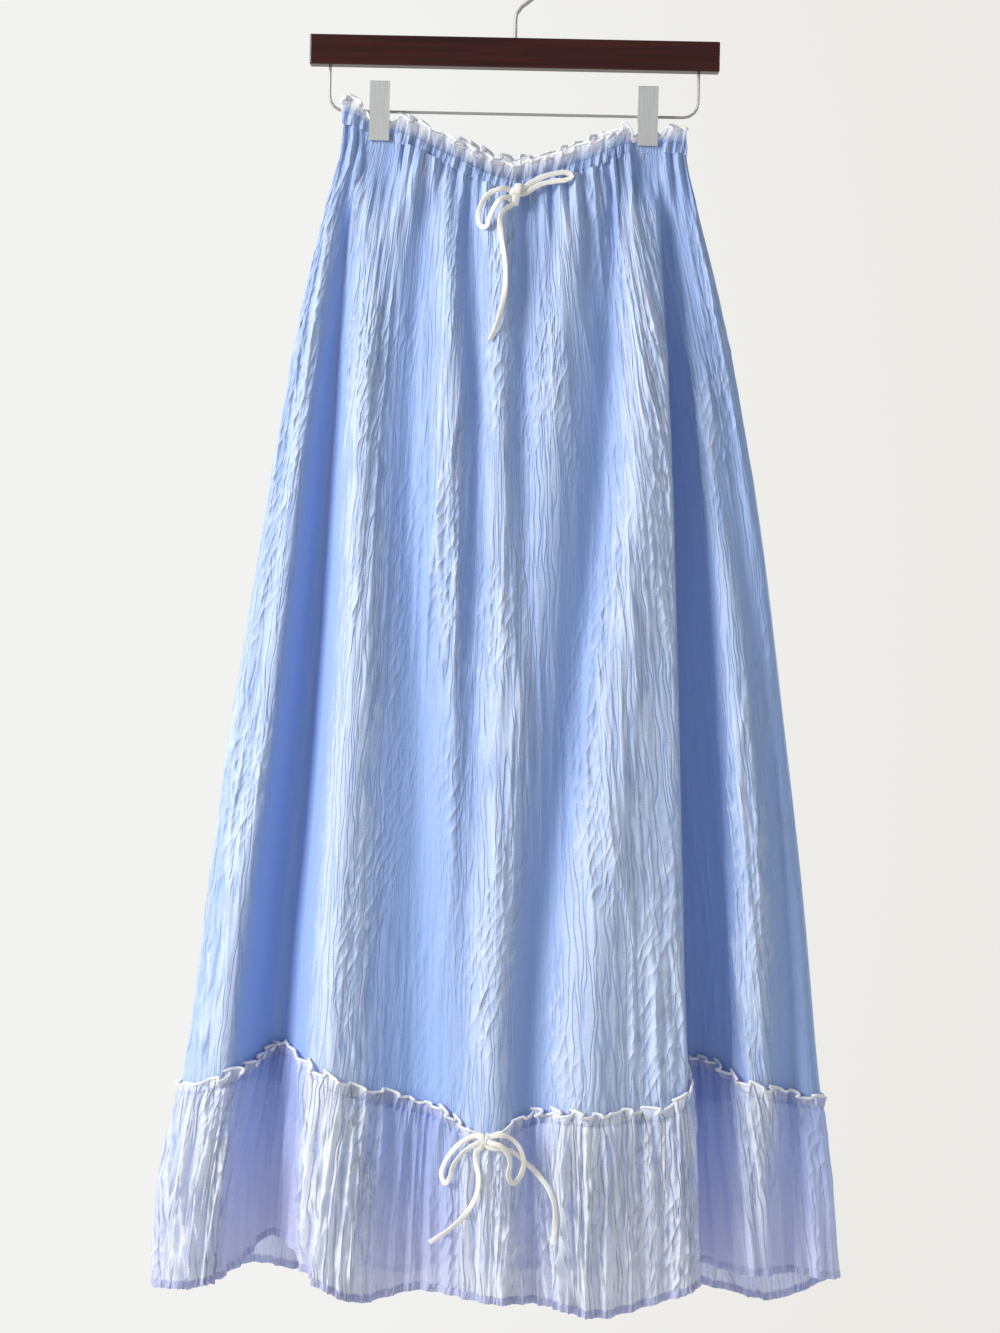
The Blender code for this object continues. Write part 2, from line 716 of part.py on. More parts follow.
def box_mesh(work, low, high):
    """Add a box between two corners, in millimetres, to a bmesh."""
    middle = [(a + b) / 2 * MM for a, b in zip(low, high)]
    size = [(b - a) * MM for a, b in zip(low, high)]
    place = Matrix.Translation(middle) @ Matrix.Diagonal((*size, 1.0))
    return bmesh.ops.create_cube(work, size=1.0, matrix=place)["verts"]


def prism(name, profile, low_x, high_x, finish):
    """A solid with a (y, z) profile in millimetres, drawn out along x."""
    mesh = bpy.data.meshes.new(name)
    work = bmesh.new()
    ring = [work.verts.new((low_x * MM, y * MM, z * MM)) for y, z in profile]
    face = work.faces.new(ring)
    drawn = bmesh.ops.extrude_face_region(work, geom=[face])["geom"]
    moved = [part for part in drawn if isinstance(part, bmesh.types.BMVert)]
    bmesh.ops.translate(work, vec=((high_x - low_x) * MM, 0, 0), verts=moved)
    bmesh.ops.recalc_face_normals(work, faces=work.faces)
    work.to_mesh(mesh)
    work.free()
    return add_object(name, mesh, finish)


def helper_only(thing):
    thing.hide_render = True
    thing.display_type = "WIRE"
    return thing


def cylinder_helper(name, radius, start, end, sides=16):
    """A hidden cylinder between two places in millimetres, used to bore a hole."""
    start, end = Vector(start) * MM, Vector(end) * MM
    mesh = bpy.data.meshes.new(name)
    work = bmesh.new()
    turn = (end - start).to_track_quat("Z", "Y").to_matrix().to_4x4()
    place = Matrix.Translation((start + end) / 2) @ turn
    bmesh.ops.create_cone(
        work, cap_ends=True, segments=sides, radius1=radius * MM, radius2=radius * MM,
        depth=(end - start).length, matrix=place,
    )
    work.to_mesh(mesh)
    work.free()
    return helper_only(add_object(name, mesh, "steel_wire"))


def combine(target, other, operation):
    modifier = target.modifiers.new(f"{operation.lower()} {other.name}", "BOOLEAN")
    modifier.operation = operation
    modifier.solver = "EXACT"
    modifier.object = other


def make_bar():
    half, deep = BAR["length"] / 2, BAR["depth"] / 2
    low, high = -BAR["top"] - BAR["height"], -BAR["top"]
    mesh = bpy.data.meshes.new("hanger_bar")
    work = bmesh.new()
    box_mesh(work, (-half, -deep, low), (half, deep, high))
    bmesh.ops.bevel(
        work, geom=work.edges[:], offset=BAR["round"] * MM, segments=2, profile=0.5, affect="EDGES",
    )
    work.to_mesh(mesh)
    work.free()
    mesh.shade_smooth()
    mesh.set_sharp_from_angle(angle=math.radians(40))
    bar = add_object("hanger_bar", mesh, "dark_wood")
    clear = 0.3
    seat = HOOK["seat"] + clear
    stem = cylinder_helper(
        "stem_bore", HOOK["radius"] + clear, (0, 0, high - seat), (0, 0, high + 2),
    )
    combine(bar, stem, "DIFFERENCE")
    for x, word in ((-RAIL["x"], "left"), (RAIL["x"], "right")):
        bore = cylinder_helper(
            f"rail_bore_{word}", RAIL["radius"] + clear, (x, RAIL["y"], low - 2),
            (x, RAIL["y"], low + RAIL["seat"] + clear),
        )
        combine(bar, bore, "DIFFERENCE")


def arc(centre, radius, start, end, steps):
    """Points on an arc in the plane of the hanger, with its angles in degrees."""
    angles = np.radians(np.linspace(start, end, steps))
    return [(centre[0] + radius * math.cos(a), centre[1] + radius * math.sin(a)) for a in angles]


def make_hook():
    """A question-mark hook: stem, neck to the right, over the rod and down to a tip."""
    middle = (0.0, HOOK["radius"] - HOOK["bend"])
    stem_low = -BAR["top"] - HOOK["seat"]
    neck_start = (0.0, -HOOK["stem_top"])
    loop = arc(middle, HOOK["bend"], -42, 205, 19)
    neck = [(0.8, -50.0), (5.4, -43.6), (11.0, -39.4)]
    flat = [(0.0, stem_low), neck_start, *neck, *loop]
    points = [(x, 0.0, z) for x, z in flat]
    tube("hanger_hook", points, HOOK["radius"], "steel_wire", 2)


def make_rail():
    """A thin wire that leaves the bar near each end and runs level below it."""
    across, corner, low = RAIL["x"], RAIL["corner"], -RAIL["drop"]
    top = -BAR["top"] - BAR["height"] + RAIL["seat"]
    left = arc((-across + corner, low + corner), corner, 180, 270, 5)
    right = arc((across - corner, low + corner), corner, 270, 360, 5)
    flat = [(-across, top), *left, *right, (across, top)]
    points = [(x, RAIL["y"], z) for x, z in flat]
    tube("hanger_rail", points, RAIL["radius"], "steel_wire", 2)


def make_clip(word, centre):
    """A spring clip: two jaws that turn on the rail and press on the cloth below it."""
    half = CLIP["width"] / 2
    front_face = CLOTH_Y - CLIP["grip"]
    back_face = CLOTH_Y + CLIP["grip"]
    rail_y, rail_z = RAIL["y"], -RAIL["drop"]
    around = CLIP["bore"] + CLIP["around_bore"]
    inside = CLIP["ear"] + CLIP["ear_gap"]
    outer_face, soft = front_face - CLIP["plate"], CLIP["round"]
    front = prism(
        f"clip_{word}_front_jaw",
        (
            (front_face, -CLIP["bottom"]), (outer_face + soft, -CLIP["bottom"]),
            (outer_face, -CLIP["bottom"] + soft), (outer_face, -CLIP["top"] - soft),
            (outer_face + soft, -CLIP["top"]), (front_face, -CLIP["top"]),
        ),
        centre - half, centre + half, "plated_clip",
    )
    thick = CLIP["back_plate"]
    foot, lever = back_face + thick, rail_y + around + thick
    low, high = -CLIP["bottom"] + CLIP["back_short"], -CLIP["top"] - CLIP["lever_short"]
    back = prism(
        f"clip_{word}_back_jaw",
        (
            (back_face, low), (foot, low), (foot, -CLIP["lever_foot"]),
            (lever, -CLIP["lever_bend"]), (lever + thick, high), (lever, high),
            (lever - thick, -CLIP["lever_bend"] + thick / 2),
            (back_face, -CLIP["lever_foot"] + thick / 2),
        ),
        centre - half + inside, centre + half - inside, "plated_clip",
    )
    for jaw, inset, reach in (
        (front, 0.0, (front_face - CLIP["plate"] / 2, rail_y + around)),
        (back, inside, (rail_y - around, lever - thick / 4)),
    ):
        for turn in (-1, 1):
            outer = centre + turn * (half - inset)
            inner = outer - turn * CLIP["ear"]
            ear = prism(
                f"{jaw.name}_ear_{'left' if turn < 0 else 'right'}",
                (
                    (reach[0], -CLIP["ear_low"]), (reach[1], -CLIP["ear_low"]),
                    (reach[1], -CLIP["ear_high"]), (reach[0], -CLIP["ear_high"]),
                ),
                min(outer, inner), max(outer, inner), "plated_clip",
            )
            combine(jaw, helper_only(ear), "UNION")
        bore = cylinder_helper(
            f"{jaw.name}_bore", CLIP["bore"], (centre - 2 * half, rail_y, rail_z),
            (centre + 2 * half, rail_y, rail_z),
        )
        combine(jaw, bore, "DIFFERENCE")
    make_spring(f"clip_{word}_spring", centre, half - 2 * CLIP["ear"] - CLIP["spring_gap"])


def make_spring(name, centre, half):
    """A short sleeve round the rail, between the jaws' ears."""
    mesh = bpy.data.meshes.new(name)
    work = bmesh.new()
    rings = []
    for x, radius in (
        (-half, CLIP["bore"]), (-half, CLIP["spring"]), (half, CLIP["spring"]), (half, CLIP["bore"]),
    ):
        ring = []
        for k in range(12):
            angle = 2 * math.pi * k / 12
            place = (x, radius * math.cos(angle), radius * math.sin(angle))
            ring.append(work.verts.new(Vector(place) * MM))
        rings.append(ring)
    for a, b in zip(rings, rings[1:] + rings[:1]):
        for k in range(12):
            work.faces.new((a[k], a[(k + 1) % 12], b[(k + 1) % 12], b[k]))
    bmesh.ops.recalc_face_normals(work, faces=work.faces)
    work.to_mesh(mesh)
    work.free()
    mesh.shade_smooth()
    mesh.set_sharp_from_angle(angle=math.radians(40))
    made = add_object(name, mesh, "steel_wire")
    made.location = (centre * MM, RAIL["y"] * MM, -RAIL["drop"] * MM)


def make_hanger():
    make_bar()
    make_hook()
    make_rail()
    make_clip("left", -CLIP_X)
    make_clip("right", CLIP_X)


clear_scene()
make_hanger()
make_skirt()
make_bows()
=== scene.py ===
"""Looks of the ruffle maxi skirt on its clip hanger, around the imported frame.

Tables and cloth functions are in millimetres, with drop as the distance below the rod, as in
the part's own source. The cloth's solids are replaced by thin sheets with their gathers and
crinkles, and the hanger's solids stay and get their finish here.
"""

import math

import bmesh
import bpy
import numpy as np
from mathutils import Matrix, Vector


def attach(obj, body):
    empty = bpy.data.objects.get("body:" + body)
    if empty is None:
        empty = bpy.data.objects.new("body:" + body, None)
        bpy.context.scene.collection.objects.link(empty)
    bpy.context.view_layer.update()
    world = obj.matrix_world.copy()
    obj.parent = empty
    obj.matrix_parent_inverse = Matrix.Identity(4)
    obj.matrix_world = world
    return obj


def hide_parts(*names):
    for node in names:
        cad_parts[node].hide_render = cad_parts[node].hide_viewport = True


MM = 0.001
FRONT, BACK = -1.0, 1.0
WORD = {FRONT: "front", BACK: "back"}

# The camera of the photograph: its distance, height and the turn that tips the hanger.
CAMERA_AT = (-0.0023, -2.2, -0.616)
CAMERA_ROLL = 1.15
FRAME_HEIGHT = 1.1557
SENSOR = 36.0

# The form of the cloth, the same tables as in the part's source.
CLOTH_Y = -3.5
CASING = 10.0
FRILL = 13.0
FRILL_PRESSED = 0.62
WAIST_GATHERS = 32
CLIP_X = 116.0
PRESSED_HALF = 10.4
PRESSED_FADE = 19.0
PRESSED_DEPTH = 1.2
PRESSED_DROP = 178.0
RELEASED_DROP = 222.0
FLOUNCE_GATHERS = 42
HEADING = 10.0
LAP = 6.0
BEND_WEIGHT = 13.0
EDGE_SHARE = 0.9
FULLNESS = 1.3
FOLDS_GROW = 60.0
LEAST_DEPTH = 1.3
FIRST_GATHER = 0.4
GATHERS_GROW = 1.2
UNEVEN = 0.18
UNEVEN_WAVES = (1.7, 0.6)
SEAM_ROOM = 0.3
LINE_STEPS = 6

OUTLINE = {
    "drop": (125, 170, 215, 300, 475, 650, 820, 960, 1080, 1170),
    "left": (-147, -149, -160, -178, -206, -231, -251, -267, -287, -294),
    "right": (151, 150, 160, 182, 218, 243, 265, 280, 296, 305),
    "front": (6.5, 7.0, 13, 22, 34, 43, 50, 55, 58, 60),
    "back": (5.5, 6.0, 11, 18, 29, 37, 43, 47, 50, 52),
    "edge": (2.4, 2.4, 3.5, 6, 10, 14, 17, 19, 20, 20),
}
WAIST_LINE = {
    FRONT: (
        (-145, 150), (-115, 160), (-88, 170), (-52, 187), (-13, 204), (0, 207),
        (21, 202), (65, 187), (99, 172), (125, 169), (150, 171),
    ),
    BACK: (
        (-145, 150), (-115, 160), (-88, 168), (-52, 182), (0, 198),
        (45, 188), (80, 176), (99, 171), (125, 169), (150, 171),
    ),
}
SEAM_LINE = {
    FRONT: (
        (-275, 990), (-246, 984), (-215, 972), (-190, 957), (-164, 961), (-130, 979),
        (-84, 991), (-46, 1001), (-12, 1019), (30, 1002), (107, 998), (145, 989),
        (162, 965), (185, 961), (215, 975), (285, 992),
    ),
    BACK: ((-275, 990), (-150, 979), (-60, 991), (40, 981), (150, 990), (285, 992)),
}
HEM_LINE = {
    FRONT: (
        (-292, 1156), (-250, 1149), (-218, 1138), (-194, 1116), (-172, 1117), (-148, 1138),
        (-119, 1153), (-61, 1147), (-14, 1149), (53, 1154), (92, 1160), (140, 1150),
        (160, 1140), (184, 1127), (206, 1131), (260, 1133), (305, 1138),
    ),
    BACK: (
        (-292, 1156), (-230, 1150), (-200, 1143), (-160, 1149), (0, 1146), (100, 1150),
        (180, 1152), (210, 1161), (238, 1170), (266, 1160), (305, 1138),
    ),
}
# Each fold's places along x, heights and half widths in mm, at these drops.
FOLD_DROPS = (200, 400, 650, 900, 1150)
FOLDS = {
    FRONT: {
        "left roll": ((-150, -172, -197, -224, -250), (0, 6, 10, 14, 17), (6, 10, 15, 19, 24)),
        "left hollow": ((-138, -152, -168, -187, -196), (-5, -20, -35, -45, -50), (8, 14, 20, 26, 31)),
        "left ridge": ((-117, -124, -129, -141, -142), (3, 10, 14, 17, 20), (11, 15, 21, 27, 31)),
        "left fall": ((-72, -82, -70, -65, -62), (-4, -8, -11, -14, -16), (11, 15, 23, 30, 33)),
        "inner left ridge": ((-54, -49, -44, -40, -38), (4, 7, 5, 2, 0), (9, 12, 14, 14, 14)),
        "inner left fall": ((-38, -24, -24, -26, -26), (-4, -7, -5, -2, 0), (8, 10, 12, 12, 12)),
        "centre ridge": ((-10, -8, 3, 0, 10), (5, 7, 9, 13, 15), (11, 12, 19, 24, 28)),
        "centre pleat": ((12, 14, 16, 16, 16), (-4, -3, 0, 0, 0), (7, 9, 10, 10, 10)),
        "inner right ridge": ((54, 40, 32, 32, 32), (5, 6, 1, 0, 0), (13, 15, 16, 16, 16)),
        "right fall": ((87, 84, 62, 32, 36), (-4, -8, -9, -11, -12), (11, 15, 20, 20, 22)),
        "right ridge": ((106, 113, 100, 82, 80), (4, 9, 12, 16, 19), (11, 15, 22, 31, 36)),
        "right roll": ((141, 168, 204, 220, 216), (2, 8, 12, 15, 18), (7, 12, 17, 22, 26)),
        "right fall at side": ((150, 184, 226, 250, 256), (0, 0, -4, -8, -12), (8, 10, 13, 15, 17)),
    },
    BACK: {
        "left roll": ((-140, -160, -188, -212, -228), (2, 6, 10, 13, 16), (8, 12, 17, 22, 26)),
        "left hollow": ((-118, -130, -150, -170, -180), (-2, -8, -12, -12, -13), (9, 13, 18, 22, 25)),
        "left ridge": ((-96, -104, -112, -122, -126), (3, 9, 13, 16, 18), (10, 14, 19, 24, 28)),
        "left fall": ((-72, -74, -72, -74, -76), (-4, -9, -14, -18, -21), (10, 13, 18, 22, 25)),
        "inner left ridge": ((-46, -42, -34, -28, -26), (4, 8, 11, 14, 17), (10, 13, 18, 23, 26)),
        "centre fall": ((-18, -10, 4, 18, 22), (-4, -8, -12, -15, -18), (9, 12, 17, 21, 24)),
        "centre ridge": ((10, 20, 38, 58, 64), (4, 7, 10, 14, 17), (9, 13, 18, 22, 25)),
        "right fall": ((42, 52, 74, 98, 106), (-4, -9, -14, -17, -20), (10, 13, 18, 20, 23)),
        "right ridge": ((74, 88, 112, 138, 146), (4, 9, 12, 15, 17), (11, 14, 18, 20, 23)),
        "right hollow": ((104, 122, 150, 176, 186), (-2, -7, -10, -10, -12), (9, 13, 17, 20, 22)),
        "right roll": ((138, 160, 192, 218, 230), (2, 6, 10, 13, 16), (8, 12, 18, 22, 26)),
    },
}
OVERLAP = {
    "x": (126, 137, 148, 158, 174),
    "across": (3, 9, 12, 13, 12),
    "half": (6, 9, 12, 14, 14),
    "edge": (2, 5, 7, 9, 10),
    "hollow": (6, 22, 32, 40, 44),
}
OVERLAP_REACH = 2.6

# Where the flounce lies: drop below its seam line or share of its fall, how far out from the
# panel, and the height of its gathers.
FLOUNCE_LAID = {"share": (0.0, 0.625, 1.0), "away": (3.5, 2.8, 3.3), "height": (1.8, 1.2, 1.7)}
FLOUNCE_FALL = {
    "share": (0.0, 0.14, 0.42, 0.72, 1.0),
    "away": (3.3, 3.1, 2.1, 0.6, 0.0),
    "height": (1.7, 3.1, 3.4, 3.7, 4.0),
}

# Grids of the sheets, the width of each in mm before it was gathered, in which its crinkles are
# spaced, and its seed. FINE is how closely a row is read first.
FINE = 1601
SPREAD_ROWS = 24
GRIDS = {
    "panel": {"columns": 560, "rows": 176, "across": 820.0, "seed": 11},
    "waist": {"columns": 700, "rows": 30, "across": 820.0, "seed": 300},
    "flounce": {"columns": 900, "rows": 78, "across": 1000.0, "seed": 500},
}

# Crinkles of each kind of cloth: height in mm, spacing across and along in mm of cloth, height
# of the raised pinch along each crease, lean in degrees, and cover, which leaves bare patches.
# A layer without a pinch is soft waves, and one without a cover is everywhere.
CRINKLES = {
    "panel": (
        (1.0, 46.0, 300.0, None, 0.0, None),
        (1.0, 19.0, 210.0, 0.9, 0.0, None),
        (0.8, 9.0, 110.0, 0.8, 0.0, 0.7),
        (0.75, 12.0, 32.0, 0.6, 20.0, 0.42),
        (0.65, 9.0, 21.0, 0.6, -36.0, 0.42),
    ),
    "flounce": (
        (0.9, 34.0, 150.0, None, 0.0, None),
        (1.8, 8.5, 150.0, 1.7, 0.0, None),
        (1.0, 6.5, 70.0, 1.2, 0.0, 0.7),
        (1.2, 11.0, 34.0, 0.7, 20.0, 0.3),
    ),
    "waist": ((0.7, 30.0, 60.0, None, 0.0, None), (1.0, 13.0, 40.0, 0.3, 0.0, None)),
}
PATCH = {"cell": (75.0, 180.0), "least": 0.35, "mean": 0.85, "swing": 1.0}
WARP = {"share": 0.55, "across": 4.0, "along": 0.7}
COVER = {"cell": (85.0, 110.0), "edge": 2.5}
# Cells of a table of noise, and what turns a squared distance in a cell into a bowl.
CELLS = (97, 89)
BOWL = (2.2, -0.4)
PINCH_WIDTH = 0.13

# Gathers that fan out below a seam: spacing in mm of cloth, height, and the drop of cloth
# over which they fade.
WAIST_CREASES = ((13.0, 1.8, 22.0), (31.0, 2.4, 80.0), (60.0, 2.8, 210.0))
SEAM_CREASES = ((7.5, 1.5, 13.0), (14.0, 2.0, 40.0), (27.0, 2.4, 95.0))
GATHER = {
    "along": 90.0, "stretch": 0.4, "pinch": 0.25, "uneven": 0.6, "fall": 1.4, "sway": 0.5,
    "sway_along": 60.0,
}

# Waves of the frills' rolled edges in mm: how many, how far out, along and down.
FRILL_WAVES = {"count": 22, "out": 3.6, "along": 3.2, "down": 4.6}
HEADING_WAVES = {"count": 38, "out": 3.2, "along": 3.4, "down": 4.0}
# How uneven those waves are: shift and size, each from noise of so many waves a cell, and the
# lag and share of each motion.
LETTUCE = {
    "cells": (1.9, 1.6, 0.9), "shift": 0.75, "mean": 0.8, "swing": 0.75, "sizes": (0.15, 1.6),
    "lag_along": 0.6, "lag_down": 0.9, "dip": 0.6, "ragged": 0.35,
}
HEADING_ROLL = 2.6
ROLL_SIDES = 6

# Other finer sizes in mm, and shares.
ROLLED_EDGE = 2.3
SEAM_PINCH = {"depth": 0.8, "width": 1.6}
TUCK = 1.5
PANEL_LAP = 2.5
SEAM_FADE = 0.012
CALM_LENGTH = 7.0
LEAST_ROOM = 0.35
HELD_FLAT = 0.92
PANEL_ROWS_LEAN = 1.15
LAID_ROWS = 20
HEM = {"fold": 7.0, "lift": 0.6, "rows": 5, "turned": 0.12, "tone": 0.42}
STITCH = {
    "pitch": 3.2, "length": 2.3, "radius": 0.28, "lift": 0.25, "sides": 5,
    "places": (0.0, 0.2, 0.8, 1.0), "thick": (0.4, 1.0, 1.0, 0.4),
}

# How strong crinkles and gathers are: least share and the mm over which they grow, share in a
# hollow and how much more on a ridge, and the drop or share of the even gathers.
PANEL_TOP = (0.3, 110.0)
PANEL_FOOT = (0.35, 12.0)
FLOUNCE_TOP = (0.5, 50.0)
ON_RIDGES = (0.3, 0.8)
PANEL_GATHERS_FADE = 50.0
FLOUNCE_GATHERS_SHARE = 0.7
CASING_FORM = {"puff": 0.9, "square": 0.7, "crinkles": 0.5, "creases": 1.1, "lean": 0.5, "even": 1.2}
FRILL_FORM = {"even": 0.6, "creases": 0.5, "reach": 1.3}

# Tones of the cloth, from 0 in its valleys to 1 on its ridges. The tone paints light and shade:
# shade deep in the hollows, paler ridges and flanks that face the window lamp, and paler crinkle
# tops. The back side gets less of this painted light and shade.
RIDGE = {"start": 0.58, "depth": 16.0, "painted_lit_side": 0.55}
FOLD_PAINTED_SHADE = {"front": 1.0, "back": 0.4}
TONE = {"depth": 9.0, "fold": 0.2, "ridge": 0.28, "crinkle": 0.045, "level": 0.4, "most": 3.0}
# How much the casing's creases paint light on their tops and shade between them. The frill's tone: least
# at its foot, its rise towards the edge and the power of that rise, and how much its creases paint light
# and shade.
CASING_CREASE_PAINTED_LIGHT = 2.5
FRILL_TONE = {"least": 0.12, "rise": 0.8, "power": 0.8, "creases": 0.12}
FLOUNCE_TONE = {"hem": 0.15, "heading": 0.35}
LOW_TONE = {"fall": 1.15, "start": 0.1, "heading": 0.8}

# What is added to a piece's seed for each kind of draw.
DRAWS = {"gathers": 5, "waves": 9, "sway": 10, "fade": 20, "warp": 40, "patch": 80, "cover": 90}

# Colours along the tone, from the painted shade in the valleys of the folds to the painted light
# on their ridges, and lower ones towards a hem. open and dense are how closed the cloth is in a
# valley and on a ridge, and translucent is how much light it passes on.
GAUZE_LOOKS = {
    "body": {
        "colours": ((0.1, (0.28, 0.42, 0.79)), (0.5, (0.315, 0.435, 0.73)), (0.9, (0.54, 0.64, 0.86))),
        "translucent": 0.0, "open": 1.0, "dense": 1.0, "relief": 1.0,
    },
    "frill": {
        "colours": ((0.0, (0.28, 0.41, 0.77)), (0.4, (0.62, 0.70, 0.89)), (0.9, (0.94, 0.95, 0.98))),
        "translucent": 0.5, "open": 1.0, "dense": 0.66, "relief": 1.0,
    },
    "flounce": {
        "colours": ((0.1, (0.38, 0.48, 0.87)), (0.5, (0.58, 0.68, 0.96)), (0.9, (0.88, 0.93, 1.0))),
        "lower": ((0.1, (0.54, 0.565, 0.82)), (0.5, (0.63, 0.67, 0.90)), (0.9, (0.85, 0.90, 1.0))),
        "translucent": 0.3, "open": 0.86, "dense": 0.98, "relief": 2.2,
    },
}

# Fine creases of the gauze in its material, in metres of cloth: thin lines or bowls between
# creases, spacing across and along, lean in degrees, height, how much they change the colour,
# and how their patches are cut. The colour change paints shade along the thin lines and light
# on the raised bowls.
FINE_CREASES = (
    ("lines", 0.0065, 0.09, 1.5, -0.00055, -0.26, (1.6, 0.2)),
    ("bowls", 0.0062, 0.022, -28.0, 0.001, 0.13, (-4.5, 2.6)),
)
LINE_SHARE = 9.0
RIDGE_SHARE = (1.7, -0.1)
FINE_PATCH = (0.06, 0.15)
FINE_WARP = {"cell": (0.011, 0.03), "by": 0.006}
YARN = 0.0007
YARNS = ((YARN, 14 * YARN), (12 * YARN, 1.6 * YARN))
WEAVE = {"height": 0.00012, "tint": 0.16}
GAUZE_FINISH = {
    "Roughness": 0.6, "Sheen Weight": 0.3, "Sheen Roughness": 0.35, "Specular IOR Level": 0.35,
}

# Grain of the small pieces: detail and distortion, the places of its tones with the share of the
# colour in each, height and strength of its bump, how uneven it makes the roughness, and more
# values of the shader.
GRAINS = {
    "thread": {
        "detail": 3.0, "distortion": 0.0, "tones": ((0.3, 0.8), (0.65, 1.0)),
        "bump": (0.0004, 0.6), "uneven": 0.0, "finish": {"Sheen Weight": 0.25},
    },
    "metal": {
        "detail": 4.0, "distortion": 0.0, "tones": ((0.3, 0.85), (0.7, 1.0)),
        "bump": (0.0002, 0.12), "uneven": 0.16, "finish": {},
    },
    "wood": {
        "detail": 6.0, "distortion": 0.6, "bump": (0.0003, 0.15), "uneven": 0.0,
        "tones": (
            (0.3, (0.018, 0.002, 0.0015)), (0.55, (0.034, 0.004, 0.003)), (0.8, (0.055, 0.008, 0.006)),
        ),
        "finish": {"Specular IOR Level": 0.35, "Coat Weight": 0.12, "Coat Roughness": 0.15},
    },
}
# Materials of the small pieces: kind of grain, colour, roughness, grains a metre along each axis,
# and how metallic. The tones of wood are colours of their own.
SMALL_LOOKS = {
    "rolled_edge": ("thread", (0.88, 0.895, 0.94), 0.8, (900.0, 900.0, 900.0), 0.0),
    "sewing_thread": ("thread", (0.62, 0.70, 0.90), 0.7, (2500.0, 2500.0, 2500.0), 0.0),
    "ivory_cord_weave": ("thread", (0.90, 0.885, 0.83), 0.7, (1400.0, 1400.0, 1400.0), 0.0),
    "bright_wire": ("metal", (0.40, 0.40, 0.395), 0.5, (60.0, 900.0, 900.0), 0.4),
    "satin_plate": ("metal", (0.60, 0.62, 0.62), 0.42, (1400.0, 1400.0, 60.0), 0.35),
    "lacquered_wood": ("wood", 1.0, 0.35, (9.0, 160.0, 160.0), 0.0),
}

# The floor, the even light all round and the lamps.
FLOOR_HALF = 2.4
FLOOR_Z = -1.95
SKY = (
    (0.30, (0.35, 0.355, 0.36)), (0.72, (0.80, 0.80, 0.79)), (0.94, (0.835, 0.825, 0.79)),
    (1.0, (0.89, 0.888, 0.875)),
)
SKY_LEAN = 0.3
LIGHTS_AIM = (0.0, 0.0, -0.6)
LIGHTS = {
    "window": {"at": (-2.6, -1.5, 0.5), "size": (1.1, 1.4), "energy": 112.0, "colour": (1.0, 0.985, 0.96)},
    "side": {"at": (2.9, -0.7, -0.3), "size": (1.2, 1.4), "energy": 11.0, "colour": (1.0, 0.99, 0.97)},
    "back": {"at": (1.6, 2.2, 0.2), "size": (1.5, 1.5), "energy": 30.0, "colour": (1.0, 0.99, 0.97)},
}

# Cords of the two bows, with the same routes as in the part's source.
CORD_POINTS = 48
CORD_WIDTH = 4.2
TAPE = {"thick": 1.9, "turn": 0.6, "twists": 7.0, "mean": 1.08, "swing": 0.06, "waves": 31.0}
TAPE_FORM = (16, 0.7)
LOOSE = 0.4
WALL = 1.2
GATHERS_STAND = 30.0
GATHERS_FADE = 60.0
PANEL_GATHER_TALLEST = 2.1
# Wraps of each knot: shift and lean sideways in mm, share of its height, and width in mm.
WRAPS = {
    "waist_bow_knot": ((-2.9, 1.0, 0.8, 4.4), (1.3, 1.4, 1.32, 6.4)),
    "flounce_bow_knot": ((-1.8, -1.2, 0.86, 4.2), (1.7, 1.2, 1.0, 3.8)),
}
WRAP_FORM = (14, 0.8)
WRAP_POINTS = 41
WRAP_FLATTER = (0.25, 1, 1)
